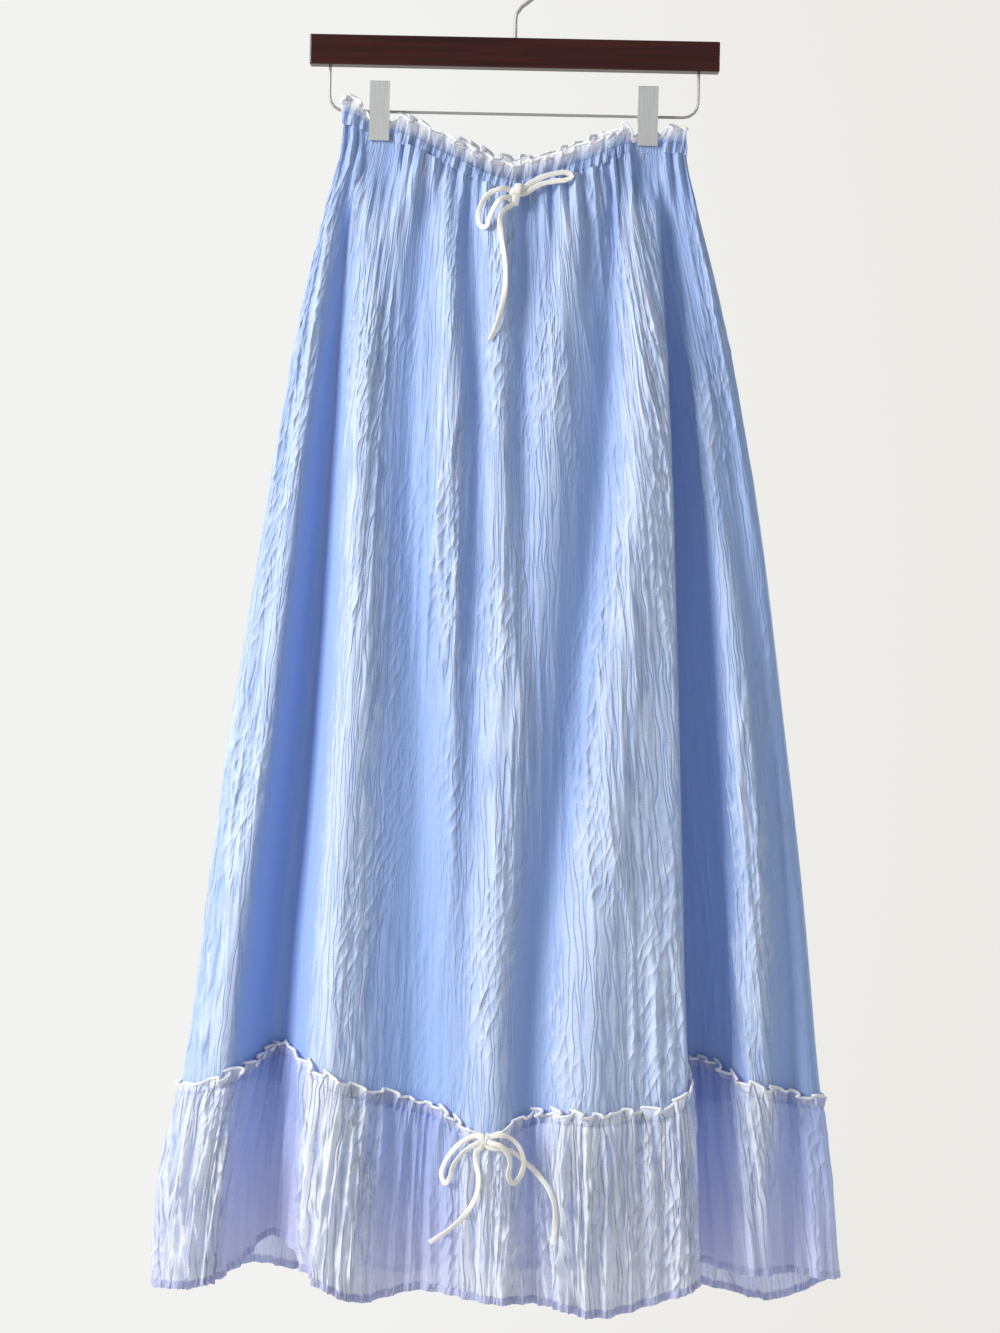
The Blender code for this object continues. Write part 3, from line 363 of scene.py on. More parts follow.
# How far a knot's core stays inside it across, in depth and in height, and its wraps likewise.
CORE_INSIDE = (1.8, 1.8, 2.4)
WRAP_INSIDE = {"depth": 0.9, "height": 0.6}
CORE_WOBBLE = 0.05
KNOT_HUB = 3.4
INTO_KNOT = 0.5
FACE_STEPS = 901
ROUTE_STEPS = 400
CLIP_EDGE = {"width": 0.35, "segments": 2, "angle": 35.0}
KNOTS = {
    "waist_bow_knot": {"x": 2.7, "drop": 211.0, "size": (9.5, 7.5, 15.0), "nearer": 0.5},
    "flounce_bow_knot": {"x": -7.0, "drop": 1011.0, "size": (9.9, 7.5, 9.9), "nearer": 0.8},
}
ROUTES = {
    "waist_bow_loop_left": (
        (-2.0, 207.4, 4.2), (-10, 207, 6.5), (-18.5, 210.5, 6), (-25.5, 218.5, 4.6), (-28.5, 229, 3.4),
        (-26.5, 238.5, 2.8), (-21.8, 239.5, 2.8), (-19, 232, 3.6), (-14.5, 222.5, 6.2),
        (-8.5, 215.5, 6.4), (-2.0, 213.4, 4.8),
    ),
    "waist_bow_loop_right": (
        (8.6, 206, 4.6), (16, 200.1, 5), (26, 195, 5), (38, 191.3, 4.4), (47.8, 190.9, 3.6),
        (51.5, 193.6, 3.2), (47.5, 196.4, 3.2), (36, 198.2, 3.4), (22, 202.3, 3.6), (8.7, 210.2, 4.2),
    ),
    "waist_bow_tail": (
        (1.2, 218.6, 3.0), (-4.6, 223, 2.6), (-9.6, 230, 2.6), (-9, 244, 2.6), (-6, 262, 2.6),
        (-4, 281, 2.6), (-6, 305, 2.6), (-11, 326, 2.6), (-16.5, 338, 2.6),
    ),
    "flounce_bow_loop_left": (
        (-12.4, 1009, 3.8), (-22, 1012.5, 5.5), (-33, 1023, 4.6), (-40.5, 1035, 3.4), (-43, 1046, 2.8),
        (-39.6, 1053, 2.8), (-35.4, 1046, 3), (-33, 1036.5, 4.2), (-27, 1026.5, 6.2),
        (-19, 1018.6, 7.6), (-12.0, 1013.8, 5.6),
    ),
    "flounce_bow_loop_right": (
        (-2.2, 1008.6, 3.8), (7.5, 1007, 6.6), (16.5, 1011.4, 8.4), (23.4, 1021, 9.0), (26, 1033, 7.4),
        (22.8, 1044, 4), (17.2, 1048.6, 2.8), (13.2, 1042, 3.6), (14.6, 1031, 6.2),
        (11.4, 1021, 8.4), (5.4, 1015, 8), (-2.0, 1013.2, 5.6),
    ),
    "flounce_bow_tail_left": (
        (-8.8, 1016.8, 2.8), (-14.4, 1023.8, 2.6), (-14, 1032, 2.6), (-11.4, 1043, 2.6),
        (-12, 1055, 2.6), (-17.4, 1068.6, 2.9), (-27, 1082, 3.1), (-39, 1094, 2.8), (-52, 1104, 2.6),
    ),
    "flounce_bow_tail_right": (
        (-4.2, 1016.9, 2.8), (4, 1018.6, 2.9), (14, 1020.8, 3.2), (24.6, 1029.2, 3.0), (37, 1041.4, 3.6),
        (47, 1053, 4.1), (52, 1064, 4.1), (53.4, 1077, 4.0), (53, 1088, 4.0), (51, 1100, 4.0),
    ),
}


def through(places, values, at):
    """A smooth curve through values at places, held flat beyond both ends."""
    places, values = np.asarray(places, float), np.asarray(values, float)
    at = np.clip(at, places[0], places[-1])
    slopes = np.gradient(values, places)
    i = np.clip(np.searchsorted(places, at, side="right") - 1, 0, len(places) - 2)
    span = places[i + 1] - places[i]
    t = (at - places[i]) / span
    start = (2 * t**3 - 3 * t**2 + 1) * values[i] + (t**3 - 2 * t**2 + t) * span * slopes[i]
    end = (3 * t**2 - 2 * t**3) * values[i + 1] + (t**3 - t**2) * span * slopes[i + 1]
    return start + end


def ease(value):
    """0 below 0, 1 above 1, and smooth between."""
    value = np.clip(value, 0.0, 1.0)
    return value * value * (3 - 2 * value)


def grown(growth, distance):
    """A share that grows from its least to 1 over a distance in mm."""
    least, over = growth
    return least + (1 - least) * ease(distance / over)


def bell(value):
    """1 at 0, and falling smoothly on both sides of it."""
    return np.exp(-(value**2))


def unit(vectors):
    return vectors / np.linalg.norm(vectors, axis=-1, keepdims=True)


def lengths_along(points):
    """How far along a line each of its points is."""
    return np.concatenate([[0.0], np.cumsum(np.linalg.norm(np.diff(points, axis=0), axis=1))])


def places_at(at, length, points):
    """Places on a line at each length along it."""
    return np.stack([np.interp(at, length, points[:, k]) for k in range(3)], axis=1)


def pressed(x, drop):
    """1 where a clip holds the two layers flat, and 0 well away from it."""
    beside = (PRESSED_FADE - np.abs(np.abs(x) - CLIP_X)) / (PRESSED_FADE - PRESSED_HALF)
    below = (RELEASED_DROP - drop) / (RELEASED_DROP - PRESSED_DROP)
    return ease(beside) * ease(below)


def plain_section(side, s, drop):
    """x and half depth of the cloth without folds, for s from -1 at the left to 1."""
    left, right, depth, edge = (
        through(OUTLINE["drop"], OUTLINE[key], drop) for key in ("left", "right", WORD[side], "edge")
    )
    flat = (right - left) / 2 - edge
    across = np.clip(s / EDGE_SHARE, -1, 1)
    turn = np.clip((np.abs(s) - EDGE_SHARE) / (1 - EDGE_SHARE), 0, 1) * math.pi / 2
    x = (left + right) / 2 + flat * across + np.sign(s) * edge * np.sin(turn)
    out = edge * np.cos(turn) + (depth - edge) * (1 - across**2) ** FULLNESS
    return x, out


def fold_out(side, x, drop):
    """How far the side's folds stand out of the plain section, and the shift along x."""
    out = np.zeros_like(x)
    for rows in FOLDS[side].values():
        place, height, half = (through(FOLD_DROPS, row, drop) for row in rows)
        out += height * bell((x - place) / half)
    shift = np.zeros_like(x)
    if side == FRONT:
        lap = {key: through(FOLD_DROPS, row, drop) for key, row in OVERLAP.items()}
        t = (x - lap["x"]) / lap["half"]
        shift = -lap["across"] * t * np.exp((1 - t * t) / 2)
        out += lap["edge"] * bell((t + 1) / OVERLAP_REACH) * (1 - np.tanh(2 * t)) / 2
        out -= lap["hollow"] * bell(np.maximum(t - 1, 0) / OVERLAP_REACH) * (1 + np.tanh(2 * t)) / 2
    return out, shift


def surface(side, s, drop):
    """Points in the middle of the cloth, with its folds and without its gathers."""
    x, out = plain_section(side, s, drop)
    begun = ease((drop - PRESSED_DROP) / FOLDS_GROW)
    fold, shift = fold_out(side, x, drop)
    kept = ease((1 - np.abs(s)) / (1 - EDGE_SHARE)) * begun
    out = out + fold * kept
    held = pressed(x, drop)
    out = out * (1 - held) + np.minimum(out, PRESSED_DEPTH) * held
    return np.stack([x + shift * kept, CLOTH_Y + side * out, -drop], axis=-1)


def line_drops(side, line, s):
    """The drop of a line that is given by x, at each s."""
    places, drops = zip(*line[side])
    drop = np.full_like(s, np.mean(drops))
    for _ in range(LINE_STEPS):
        x, _out = plain_section(side, s, drop)
        drop = through(places, drops, x)
    return drop


def noise(u, v, across, along, seed):
    """Smooth noise from about -1 to 1, with one cell for each across by along mm."""
    rows, columns = CELLS
    table = np.random.default_rng(seed).random(CELLS) * 2 - 1
    a, b = u / across, v / along
    i, j = np.floor(a).astype(int), np.floor(b).astype(int)
    first, second = i % rows, (i + 1) % rows
    share = ease(a - i)
    near, far = (
        table[first, (j + k) % columns] * (1 - share) + table[second, (j + k) % columns] * share
        for k in (0, 1)
    )
    share = ease(b - j)
    return near * (1 - share) + far * share


def creased(u, v, across, along, seed, pinch):
    """Bowls between sharp uneven creases, with a narrow raised pinch along each crease."""
    rows, columns = CELLS
    table = np.random.default_rng(seed).random((2, *CELLS))
    a, b = u / across, v / along
    i, j = np.floor(a).astype(int), np.floor(b).astype(int)
    first = np.full_like(a, np.inf)
    second = first.copy()
    for di in (-1, 0, 1):
        for dj in (-1, 0, 1):
            centre = table[:, (i + di) % rows, (j + dj) % columns]
            from_a, from_b = i + di + centre[0] - a, j + dj + centre[1] - b
            away = from_a * from_a + from_b * from_b
            second = np.minimum(second, np.maximum(first, away))
            first = np.minimum(first, away)
    pinches = pinch * np.exp(-(np.sqrt(second) - np.sqrt(first)) / PINCH_WIDTH)
    return BOWL[0] * first + BOWL[1] + pinches


def crinkle(grid):
    """Height of the cloth's crinkles in mm at each place, uneven from patch to patch."""
    u, v, seed = grid.u, grid.v, grid.seed
    total = np.zeros_like(u)
    patch = noise(u, v, *PATCH["cell"], seed + DRAWS["patch"])
    patch = np.maximum(PATCH["mean"] + PATCH["swing"] * patch, PATCH["least"])
    for k, (height, across, along, pinch, lean, cover) in enumerate(CRINKLES[grid.kind]):
        turn = math.radians(lean)
        a = u * math.cos(turn) + v * math.sin(turn)
        b = v * math.cos(turn) - u * math.sin(turn)
        cell = WARP["across"] * across, WARP["along"] * along
        a = a + WARP["share"] * across * noise(u, v, *cell, seed + DRAWS["warp"] + k)
        if pinch is None:
            value = noise(a, b, across, along, seed + k)
        else:
            value = creased(a, b, across, along, seed + k, pinch)
        if cover is not None:
            spread = noise(u, v, *COVER["cell"], seed + DRAWS["cover"] + k)
            value = value * ease(COVER["edge"] * (spread + 2 * cover - 1) + 0.5)
        total += height * patch * value
    return total


def gather_creases(u, v, below, creases, seed):
    """Sharp creases that start at a gathered seam and fade below it at their own rates."""
    total = np.zeros_like(u)
    seed += DRAWS["gathers"]
    for k, (across, height, fade) in enumerate(creases):
        uneven = noise(u, 0 * v, 2 * across, 1.0, seed + DRAWS["fade"] + k)
        fade = fade * (1 + GATHER["uneven"] * uneven)
        sway = noise(u, v, 3 * across, GATHER["sway_along"], seed + DRAWS["sway"] + k)
        a, b = u + GATHER["sway"] * across * sway, GATHER["stretch"] * v
        value = creased(a, b, across, GATHER["along"], seed + k, GATHER["pinch"])
        total += height * value * np.exp(-((np.abs(below) / fade) ** GATHER["fall"]))
    return total


class Side:
    """One side of the skirt: its seam lines, and how its columns are spread."""

    def __init__(self, side):
        self.side, self.word = side, WORD[side]
        self.s = np.linspace(-1, 1, FINE)
        self.waist, self.seam, self.hem = (
            line_drops(side, line, self.s) for line in (WAIST_LINE, SEAM_LINE, HEM_LINE)
        )
        self.spread, self.cloth = np.zeros(FINE), np.zeros(FINE)
        for share in np.linspace(0, 1, SPREAD_ROWS):
            fine = surface(side, self.s, self.waist + share * (self.hem - self.waist))
            steps = np.diff(fine, axis=0)
            bearings = np.unwrap(np.arctan2(steps[:, 1], steps[:, 0]))
            turns = np.abs(np.diff(bearings, prepend=bearings[0]))
            lengths = np.linalg.norm(steps, axis=1)
            weight = np.cumsum(lengths + BEND_WEIGHT * turns)
            self.spread[1:] += weight / weight[-1] / SPREAD_ROWS
            self.cloth[1:] += np.cumsum(lengths) / lengths.sum() / SPREAD_ROWS


class Grid:
    """Rows of places on one side of the skirt, in columns that fall straight down it."""

    def __init__(self, cloth, kind, tops, bottoms, shares):
        self.of, self.kind, side = cloth, kind, cloth.side
        form = GRIDS[kind]
        columns = form["columns"]
        self.share = np.tile(np.linspace(0, 1, columns), (len(shares), 1))
        points, drops, places = [], [], []
        for of_length in shares:
            drop = tops + of_length * (bottoms - tops)
            fine = surface(side, cloth.s, drop)
            length = lengths_along(fine)
            ends = np.interp([SEAM_ROOM / 2, length[-1] - SEAM_ROOM / 2], length, cloth.spread)
            at = np.interp(np.linspace(*ends, columns), cloth.spread, cloth.s)
            points.append(places_at(at, cloth.s, fine))
            drops.append(np.interp(at, cloth.s, drop))
            places.append(at)
        self.points, self.drop, self.s = np.array(points), np.array(drops), np.array(places)
        self.u, self.v = self.read(cloth.cloth) * form["across"], self.drop
        self.seed = form["seed"] + int(side > 0)
        along = np.gradient(self.points, axis=1)
        self.along = unit(along)
        flat = unit(np.stack([-side * along[..., 1], side * along[..., 0]], axis=-1))
        self.out = np.concatenate([flat, np.zeros_like(flat[..., :1])], axis=-1)
        self.out[:, 0] = (-1, 0, 0)
        self.out[:, -1] = (1, 0, 0)
        bearings = np.unwrap(np.arctan2(along[..., 1], along[..., 0]), axis=1)
        self.bend = np.abs(np.gradient(bearings, axis=1)) / np.linalg.norm(along, axis=-1)
        self.room = np.abs(self.points[..., 1] - CLOTH_Y)
        self.ends = ease(np.minimum(self.share, 1 - self.share) / SEAM_FADE)
        self.held = pressed(self.points[..., 0], self.drop)
        self.fold = self.room - plain_section(side, self.s, self.drop)[1]
        # How strongly this side's folds paint shade and light into its tone: the back less.
        self.tint = FOLD_PAINTED_SHADE[cloth.word]
        # The ridge share leans onto the flanks that face the window lamp: it sets where crinkles are
        # strong, and those flanks are painted paler.
        painted_lit_side = RIDGE["painted_lit_side"] * self.out[..., 0]
        self.ridge = 1 - self.tint + self.tint * ease(RIDGE["start"] + self.fold / RIDGE["depth"] - painted_lit_side)

    def read(self, values):
        """Values of the side's own columns, at each place."""
        return np.interp(self.s, self.of.s, values)

    def below(self, line):
        """How far each place is below a line, in mm."""
        return self.drop - self.read(line)

    def gathers(self, count):
        """The even gathers that the solid has, 1 mm high, at the same places."""
        wave = self.share * count
        first, second = UNEVEN_WAVES
        uneven = 1 - UNEVEN + UNEVEN * np.sin(first * wave) * np.cos(second * wave)
        room = np.clip(self.room - LEAST_DEPTH, 0, 1)
        ends = ease((np.minimum(wave, count - wave) - FIRST_GATHER) / GATHERS_GROW)
        return room * ends * self.calm() * uneven * np.cos(2 * math.pi * wave)

    def calm(self):
        """1 where the cloth is nearly flat, and small round a tight fold."""
        return 1 / (1 + (self.bend * CALM_LENGTH) ** 2)

    def on_ridges(self):
        """How strong crinkles are: weak in a hollow and full on a ridge."""
        return ON_RIDGES[0] + ON_RIDGES[1] * self.ridge

    def tone_with_painted_shade(self, height):
        """0 to 1 tone of the cloth, with painted light: painted shade deep in its hollows, and paler on
        its ridges, on flanks that face the window lamp and on crinkle tops.
        """
        broad = TONE["fold"] * np.tanh(self.fold / TONE["depth"]) + TONE["ridge"] * (self.ridge - 0.5)
        fine = np.clip(height - TONE["level"], -TONE["most"], TONE["most"])
        return 0.5 + self.tint * broad + TONE["crinkle"] * fine

    def moved(self, out, along=0.0, down=0.0):
        """The places moved out of the cloth, along its row and down, kept off the other side."""
        free = np.maximum(self.room - LEAST_ROOM, 0)
        out = np.maximum(out * self.ends * (1 - HELD_FLAT * self.held), -free)
        shift = np.zeros_like(self.points)
        shift[..., 2] = -np.asarray(down) * self.ends
        sideways = np.asarray(along) * self.ends * (1 - self.held)
        return self.points + self.out * out[..., None] + self.along * sideways[..., None] + shift


def lettuce(grid, reach, waves):
    """Waves of a rolled edge: out of the cloth, along it and down, for a reach of 0 to 1."""
    turn = grid.share * waves["count"]
    seed = grid.seed + DRAWS["waves"]
    shift, spread, ragged = (
        noise(turn, 0 * turn, cell, 1.0, seed + k) for k, cell in enumerate(LETTUCE["cells"])
    )
    phase = 2 * math.pi * (turn + LETTUCE["shift"] * shift)
    size = np.clip(LETTUCE["mean"] + LETTUCE["swing"] * spread, *LETTUCE["sizes"]) * reach
    out = waves["out"] * size * np.sin(phase)
    along = waves["along"] * size * np.sin(2 * phase + LETTUCE["lag_along"])
    dip = LETTUCE["dip"] * size * np.cos(phase + LETTUCE["lag_down"])
    return out, along, waves["down"] * reach * (LETTUCE["ragged"] * ragged - dip)


def add_object(name, data):
    made = bpy.data.objects.new(name, data)
    bpy.context.scene.collection.objects.link(made)
    return made


def add_piece(name, data, finish):
    """A visible piece of the garment, with the material of its finish."""
    made = add_object(name, data)
    material, slot = finish
    data.materials.append(material)
    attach(made, "root")
    return made


def sheet_mesh(name, points, u, v, tone_and_painted_shade, finish, low=0.0):
    """A thin sheet through a grid of points, with its cloth places as UV in metres, and its tone, which
    holds painted shade and light, on each point.
    """
    numbers = np.arange(u.size).reshape(u.shape)
    corners = [numbers[:-1, :-1], numbers[1:, :-1], numbers[1:, 1:], numbers[:-1, 1:]]
    quads = np.stack(corners, axis=-1).reshape(-1, 4)
    mesh = bpy.data.meshes.new(name)
    mesh.from_pydata(points.reshape(-1, 3) * MM, [], quads)
    uv = np.stack([u, v], axis=-1).reshape(-1, 2)[quads.ravel()] * MM
    mesh.uv_layers.new(name="cloth").data.foreach_set("uv", uv.ravel())
    for key, value in (("tone_and_painted_shade", tone_and_painted_shade), ("low", np.broadcast_to(low, u.shape))):
        held = mesh.attributes.new(key, "FLOAT", "POINT")
        held.data.foreach_set("value", np.clip(value, 0, 1).ravel())
    mesh.shade_smooth()
    return add_piece(name, mesh, finish)


def tube_rings(points, width, depth, facing, sides, square=1.0):
    """Rings of corners along points in mm, flat side towards facing. A low square is boxier."""
    tangent = unit(np.gradient(points, axis=0))
    across = unit(np.cross(tangent, np.broadcast_to(np.asarray(facing, float), points.shape)))
    normal = np.cross(across, tangent)
    angles = np.linspace(0, 2 * math.pi, sides, endpoint=False)[None, :, None]
    wide, deep = (np.sign(f) * np.abs(f) ** square for f in (np.cos(angles), np.sin(angles)))
    half_width, half_depth = (
        np.broadcast_to(np.asarray(size, float) / 2, len(points))[:, None, None] for size in (width, depth)
    )
    return points[:, None] + across[:, None] * half_width * wide + normal[:, None] * half_depth * deep


def tube_faces(start, rings, sides):
    """Faces of a closed tube whose corners are numbered from start, ring by ring."""
    faces = []
    for i in range(rings - 1):
        for k in range(sides):
            a, b = start + i * sides + k, start + i * sides + (k + 1) % sides
            faces.append((a, b, b + sides, a + sides))
    faces.append(tuple(start + k for k in range(sides))[::-1])
    faces.append(tuple(start + (rings - 1) * sides + k for k in range(sides)))
    return faces


def solid_piece(name, corners, faces, finish):
    """A smooth closed piece with its normals turned out."""
    mesh = bpy.data.meshes.new(name)
    mesh.from_pydata([tuple(p) for p in np.asarray(corners) * MM], [], faces)
    work = bmesh.new()
    work.from_mesh(mesh)
    bmesh.ops.recalc_face_normals(work, faces=work.faces)
    work.to_mesh(mesh)
    work.free()
    mesh.shade_smooth()
    return add_piece(name, mesh, finish)


def sweep(name, points, width, depth, facing, finish, sides, square=1.0):
    """A tube along points in mm. width, depth and facing may vary along it."""
    rings = tube_rings(points, width, depth, facing, sides, square)
    return solid_piece(name, rings.reshape(-1, 3), tube_faces(0, len(rings), sides), finish)


def rolled_edge(name, points, width, finishes):
    return sweep(name, points, width, width, (0, 0, 1), finishes["rolled"], ROLL_SIDES)


def stitch_row(name, points, out, finishes):
    """A row of short raised stitches along a line of cloth."""
    line = points + out * STITCH["lift"]
    length = lengths_along(line)
    thick = 2 * STITCH["radius"] * np.array(STITCH["thick"])
    rings, sides = len(thick), STITCH["sides"]
    corners, faces = [], []
    for start in np.arange(STITCH["pitch"], length[-1] - STITCH["pitch"], STITCH["pitch"]):
        spine = places_at(start + np.array(STITCH["places"]) * STITCH["length"], length, line)
        faces += tube_faces(len(corners) * rings * sides, rings, sides)
        corners.append(tube_rings(spine, thick, thick, (0, 0, 1), sides).reshape(-1, 3))
    return solid_piece(name, np.concatenate(corners), faces, finishes["thread"])


def feed(tree, made, inputs):
    """Inputs of a node, each linked to a socket or set to a plain value."""
    for key, value in inputs.items():
        if isinstance(value, bpy.types.NodeSocket):
            tree.links.new(value, made.inputs[key])
        else:
            made.inputs[key].default_value = value


def node(tree, kind, inputs=None, output=0, **values):
    """An output of a new node that has these inputs and values."""
    made = tree.nodes.new(kind)
    for key, value in values.items():
        setattr(made, key, value)
    feed(tree, made, inputs or {})
    return made.outputs[output]


def new_material(name):
    """A new material, its node tree and its Principled shader."""
    made = bpy.data.materials.new(name)
    made.use_nodes = True
    return made, made.node_tree, made.node_tree.nodes["Principled BSDF"]


def ramp(tree, source, stops):
    """Colours that change evenly between places from 0 to 1."""
    colour = node(tree, "ShaderNodeValToRGB", {"Fac": source}, "Color")
    elements = colour.node.color_ramp.elements
    while len(elements) < len(stops):
        elements.new(0.5)
    for element, (place, value) in zip(elements, stops):
        element.position = place
        element.color = (*value, 1.0)
    return colour


def math_node(tree, operation, *values, clamp=False):
    inputs = dict(enumerate(values))
    return node(tree, "ShaderNodeMath", inputs, operation=operation, use_clamp=clamp)


def scaled(tree, value, by, plus=0.0, clamp=False):
    return math_node(tree, "MULTIPLY_ADD", value, by, plus, clamp=clamp)


def clamped(tree, value, by, plus):
    return scaled(tree, value, by, plus, True)


def stretched(tree, places, scale):
    return node(tree, "ShaderNodeMapping", {"Vector": places, "Scale": scale})


def bump(tree, height, distance, strength):
    inputs = {"Height": height, "Distance": distance, "Strength": strength}
    return node(tree, "ShaderNodeBump", inputs)


def cloth_texture(tree, places, across, along, turn=0.0, cells=False):
    """Noise or cells of the cloth's own scale, one for each across by along metres."""
    if turn:
        inputs = {"Vector": places, "Angle": math.radians(turn)}
        places = node(tree, "ShaderNodeVectorRotate", inputs, rotation_type="Z_AXIS")
    places = stretched(tree, places, (1 / across, 1 / along, 1.0))
    inputs = {"Vector": places, "Scale": 1.0, "Detail": 0.0}
    if cells:
        return node(tree, "ShaderNodeTexVoronoi", inputs, "Distance", voronoi_dimensions="2D")
    return node(tree, "ShaderNodeTexNoise", inputs, "Fac", noise_dimensions="2D")


def warped(tree, places):
    """The cloth's places, shifted across it by a slow noise."""
    slow = cloth_texture(tree, places, *FINE_WARP["cell"])
    shift = node(tree, "ShaderNodeCombineXYZ", {"X": scaled(tree, slow, FINE_WARP["by"])})
    return node(tree, "ShaderNodeVectorMath", {0: places, 1: shift}, operation="ADD")


def gauze_material(name, look):
    """Crinkled gauze: sharp fine creases, a weave, colour by the sheet's tone, with painted shade in
    hollows and creases and painted light on ridges, and some light through.
    """
    made, tree, shader = new_material(name)
    places = node(tree, "ShaderNodeUVMap", uv_map="cloth")
    # The sheet's tone, which holds the painted shade and light of its folds and crinkles.
    tone = node(tree, "ShaderNodeAttribute", output="Fac", attribute_name="tone_and_painted_shade")
    patches = cloth_texture(tree, places, *FINE_PATCH)
    ridges = clamped(tree, tone, *RIDGE_SHARE)
    yarns = (cloth_texture(tree, places, *spacing) for spacing in YARNS)
    weave = math_node(tree, "SUBTRACT", math_node(tree, "ADD", *yarns), 1.0)
    relief = scaled(tree, weave, WEAVE["height"])
    tone = scaled(tree, weave, WEAVE["tint"], tone)
    places = warped(tree, places)
    for kind, across, along, turn, height, tint, patch in FINE_CREASES:
        raised = cloth_texture(tree, places, across, along, turn, kind == "bowls")
        if kind == "bowls":
            raised = scaled(tree, scaled(tree, raised, raised), *BOWL)
        else:
            away = math_node(tree, "ABSOLUTE", math_node(tree, "SUBTRACT", raised, 0.5))
            raised = clamped(tree, away, -LINE_SHARE, 1.0)
        raised = scaled(tree, scaled(tree, raised, clamped(tree, patches, *patch)), ridges)
        relief = scaled(tree, raised, height * look["relief"], relief)
        # Painted shade along the crease lines and painted light on the raised bowls.
        tone = scaled(tree, raised, tint, tone)
    colour = ramp(tree, tone, look["colours"])
    if "lower" in look:
        low = node(tree, "ShaderNodeAttribute", output="Fac", attribute_name="low")
        inputs = {0: low, 6: colour, 7: ramp(tree, tone, look["lower"])}
        colour = node(tree, "ShaderNodeMix", inputs, 2, data_type="RGBA")
    normal = bump(tree, relief, 1.0, 1.0)
    feed(tree, shader, {"Base Color": colour, "Normal": normal, **GAUZE_FINISH})
    result = shader.outputs["BSDF"]
    if look["translucent"]:
        behind = node(tree, "ShaderNodeBsdfTranslucent", {"Color": colour})
        result = node(tree, "ShaderNodeMixShader", {0: look["translucent"], 1: result, 2: behind})
    if look["dense"] < 1:
        closed = clamped(tree, tone, look["dense"] - look["open"], look["open"])
        clear = node(tree, "ShaderNodeBsdfTransparent")
        result = node(tree, "ShaderNodeMixShader", {0: closed, 1: clear, 2: result})
    feed(tree, tree.nodes["Material Output"], {"Surface": result})
    return made


def grained_material(name):
    """Thread, cord, metal or wood, with a fine grain in the piece's own coordinates."""
    kind, colour, rough, scale, metallic = SMALL_LOOKS[name]
    form = GRAINS[kind]
    made, tree, shader = new_material(name)
    places = stretched(tree, node(tree, "ShaderNodeTexCoord", output="Object"), scale)
    inputs = {"Vector": places, "Scale": 1.0, "Detail": form["detail"], "Distortion": form["distortion"]}
    grain = node(tree, "ShaderNodeTexNoise", inputs, "Fac")
    tones = ramp(tree, grain, [(place, np.multiply(share, colour)) for place, share in form["tones"]])
    normal = bump(tree, grain, *form["bump"])
    if form["uneven"]:
        rough = scaled(tree, grain, form["uneven"], rough - form["uneven"] / 2)
    inputs = {"Base Color": tones, "Normal": normal, "Roughness": rough, "Metallic": metallic}
    feed(tree, shader, {**inputs, **form["finish"]})
    return made


def make_panel(cloth, finishes):
    """The body panel of one side: gathered under the casing, crinkled all the way down."""
    shares = np.linspace(0, 1, GRIDS["panel"]["rows"]) ** PANEL_ROWS_LEAN
    grid = Grid(cloth, "panel", cloth.waist - TUCK, cloth.seam + PANEL_LAP, shares)
    below = grid.below(cloth.waist)
    over_heading = -grid.below(cloth.seam) - HEADING
    crinkles = crinkle(grid) * grown(PANEL_TOP, below) * grown(PANEL_FOOT, over_heading) * grid.on_ridges()
    height = crinkles + gather_creases(grid.u, grid.v, below, WAIST_CREASES, grid.seed)
    even = grid.gathers(WAIST_GATHERS) * PANEL_GATHER_TALLEST * bell(below / PANEL_GATHERS_FADE)
    points = grid.moved(height * grid.calm() + even)
    # The tone paints shade into the hollows and light on the ridges and crinkle tops.
    tone = grid.tone_with_painted_shade(height)
    made = sheet_mesh(f"body_{cloth.word}", points, grid.u, grid.v, tone, finishes["body"])
    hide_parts(f"skirt_{cloth.word}")


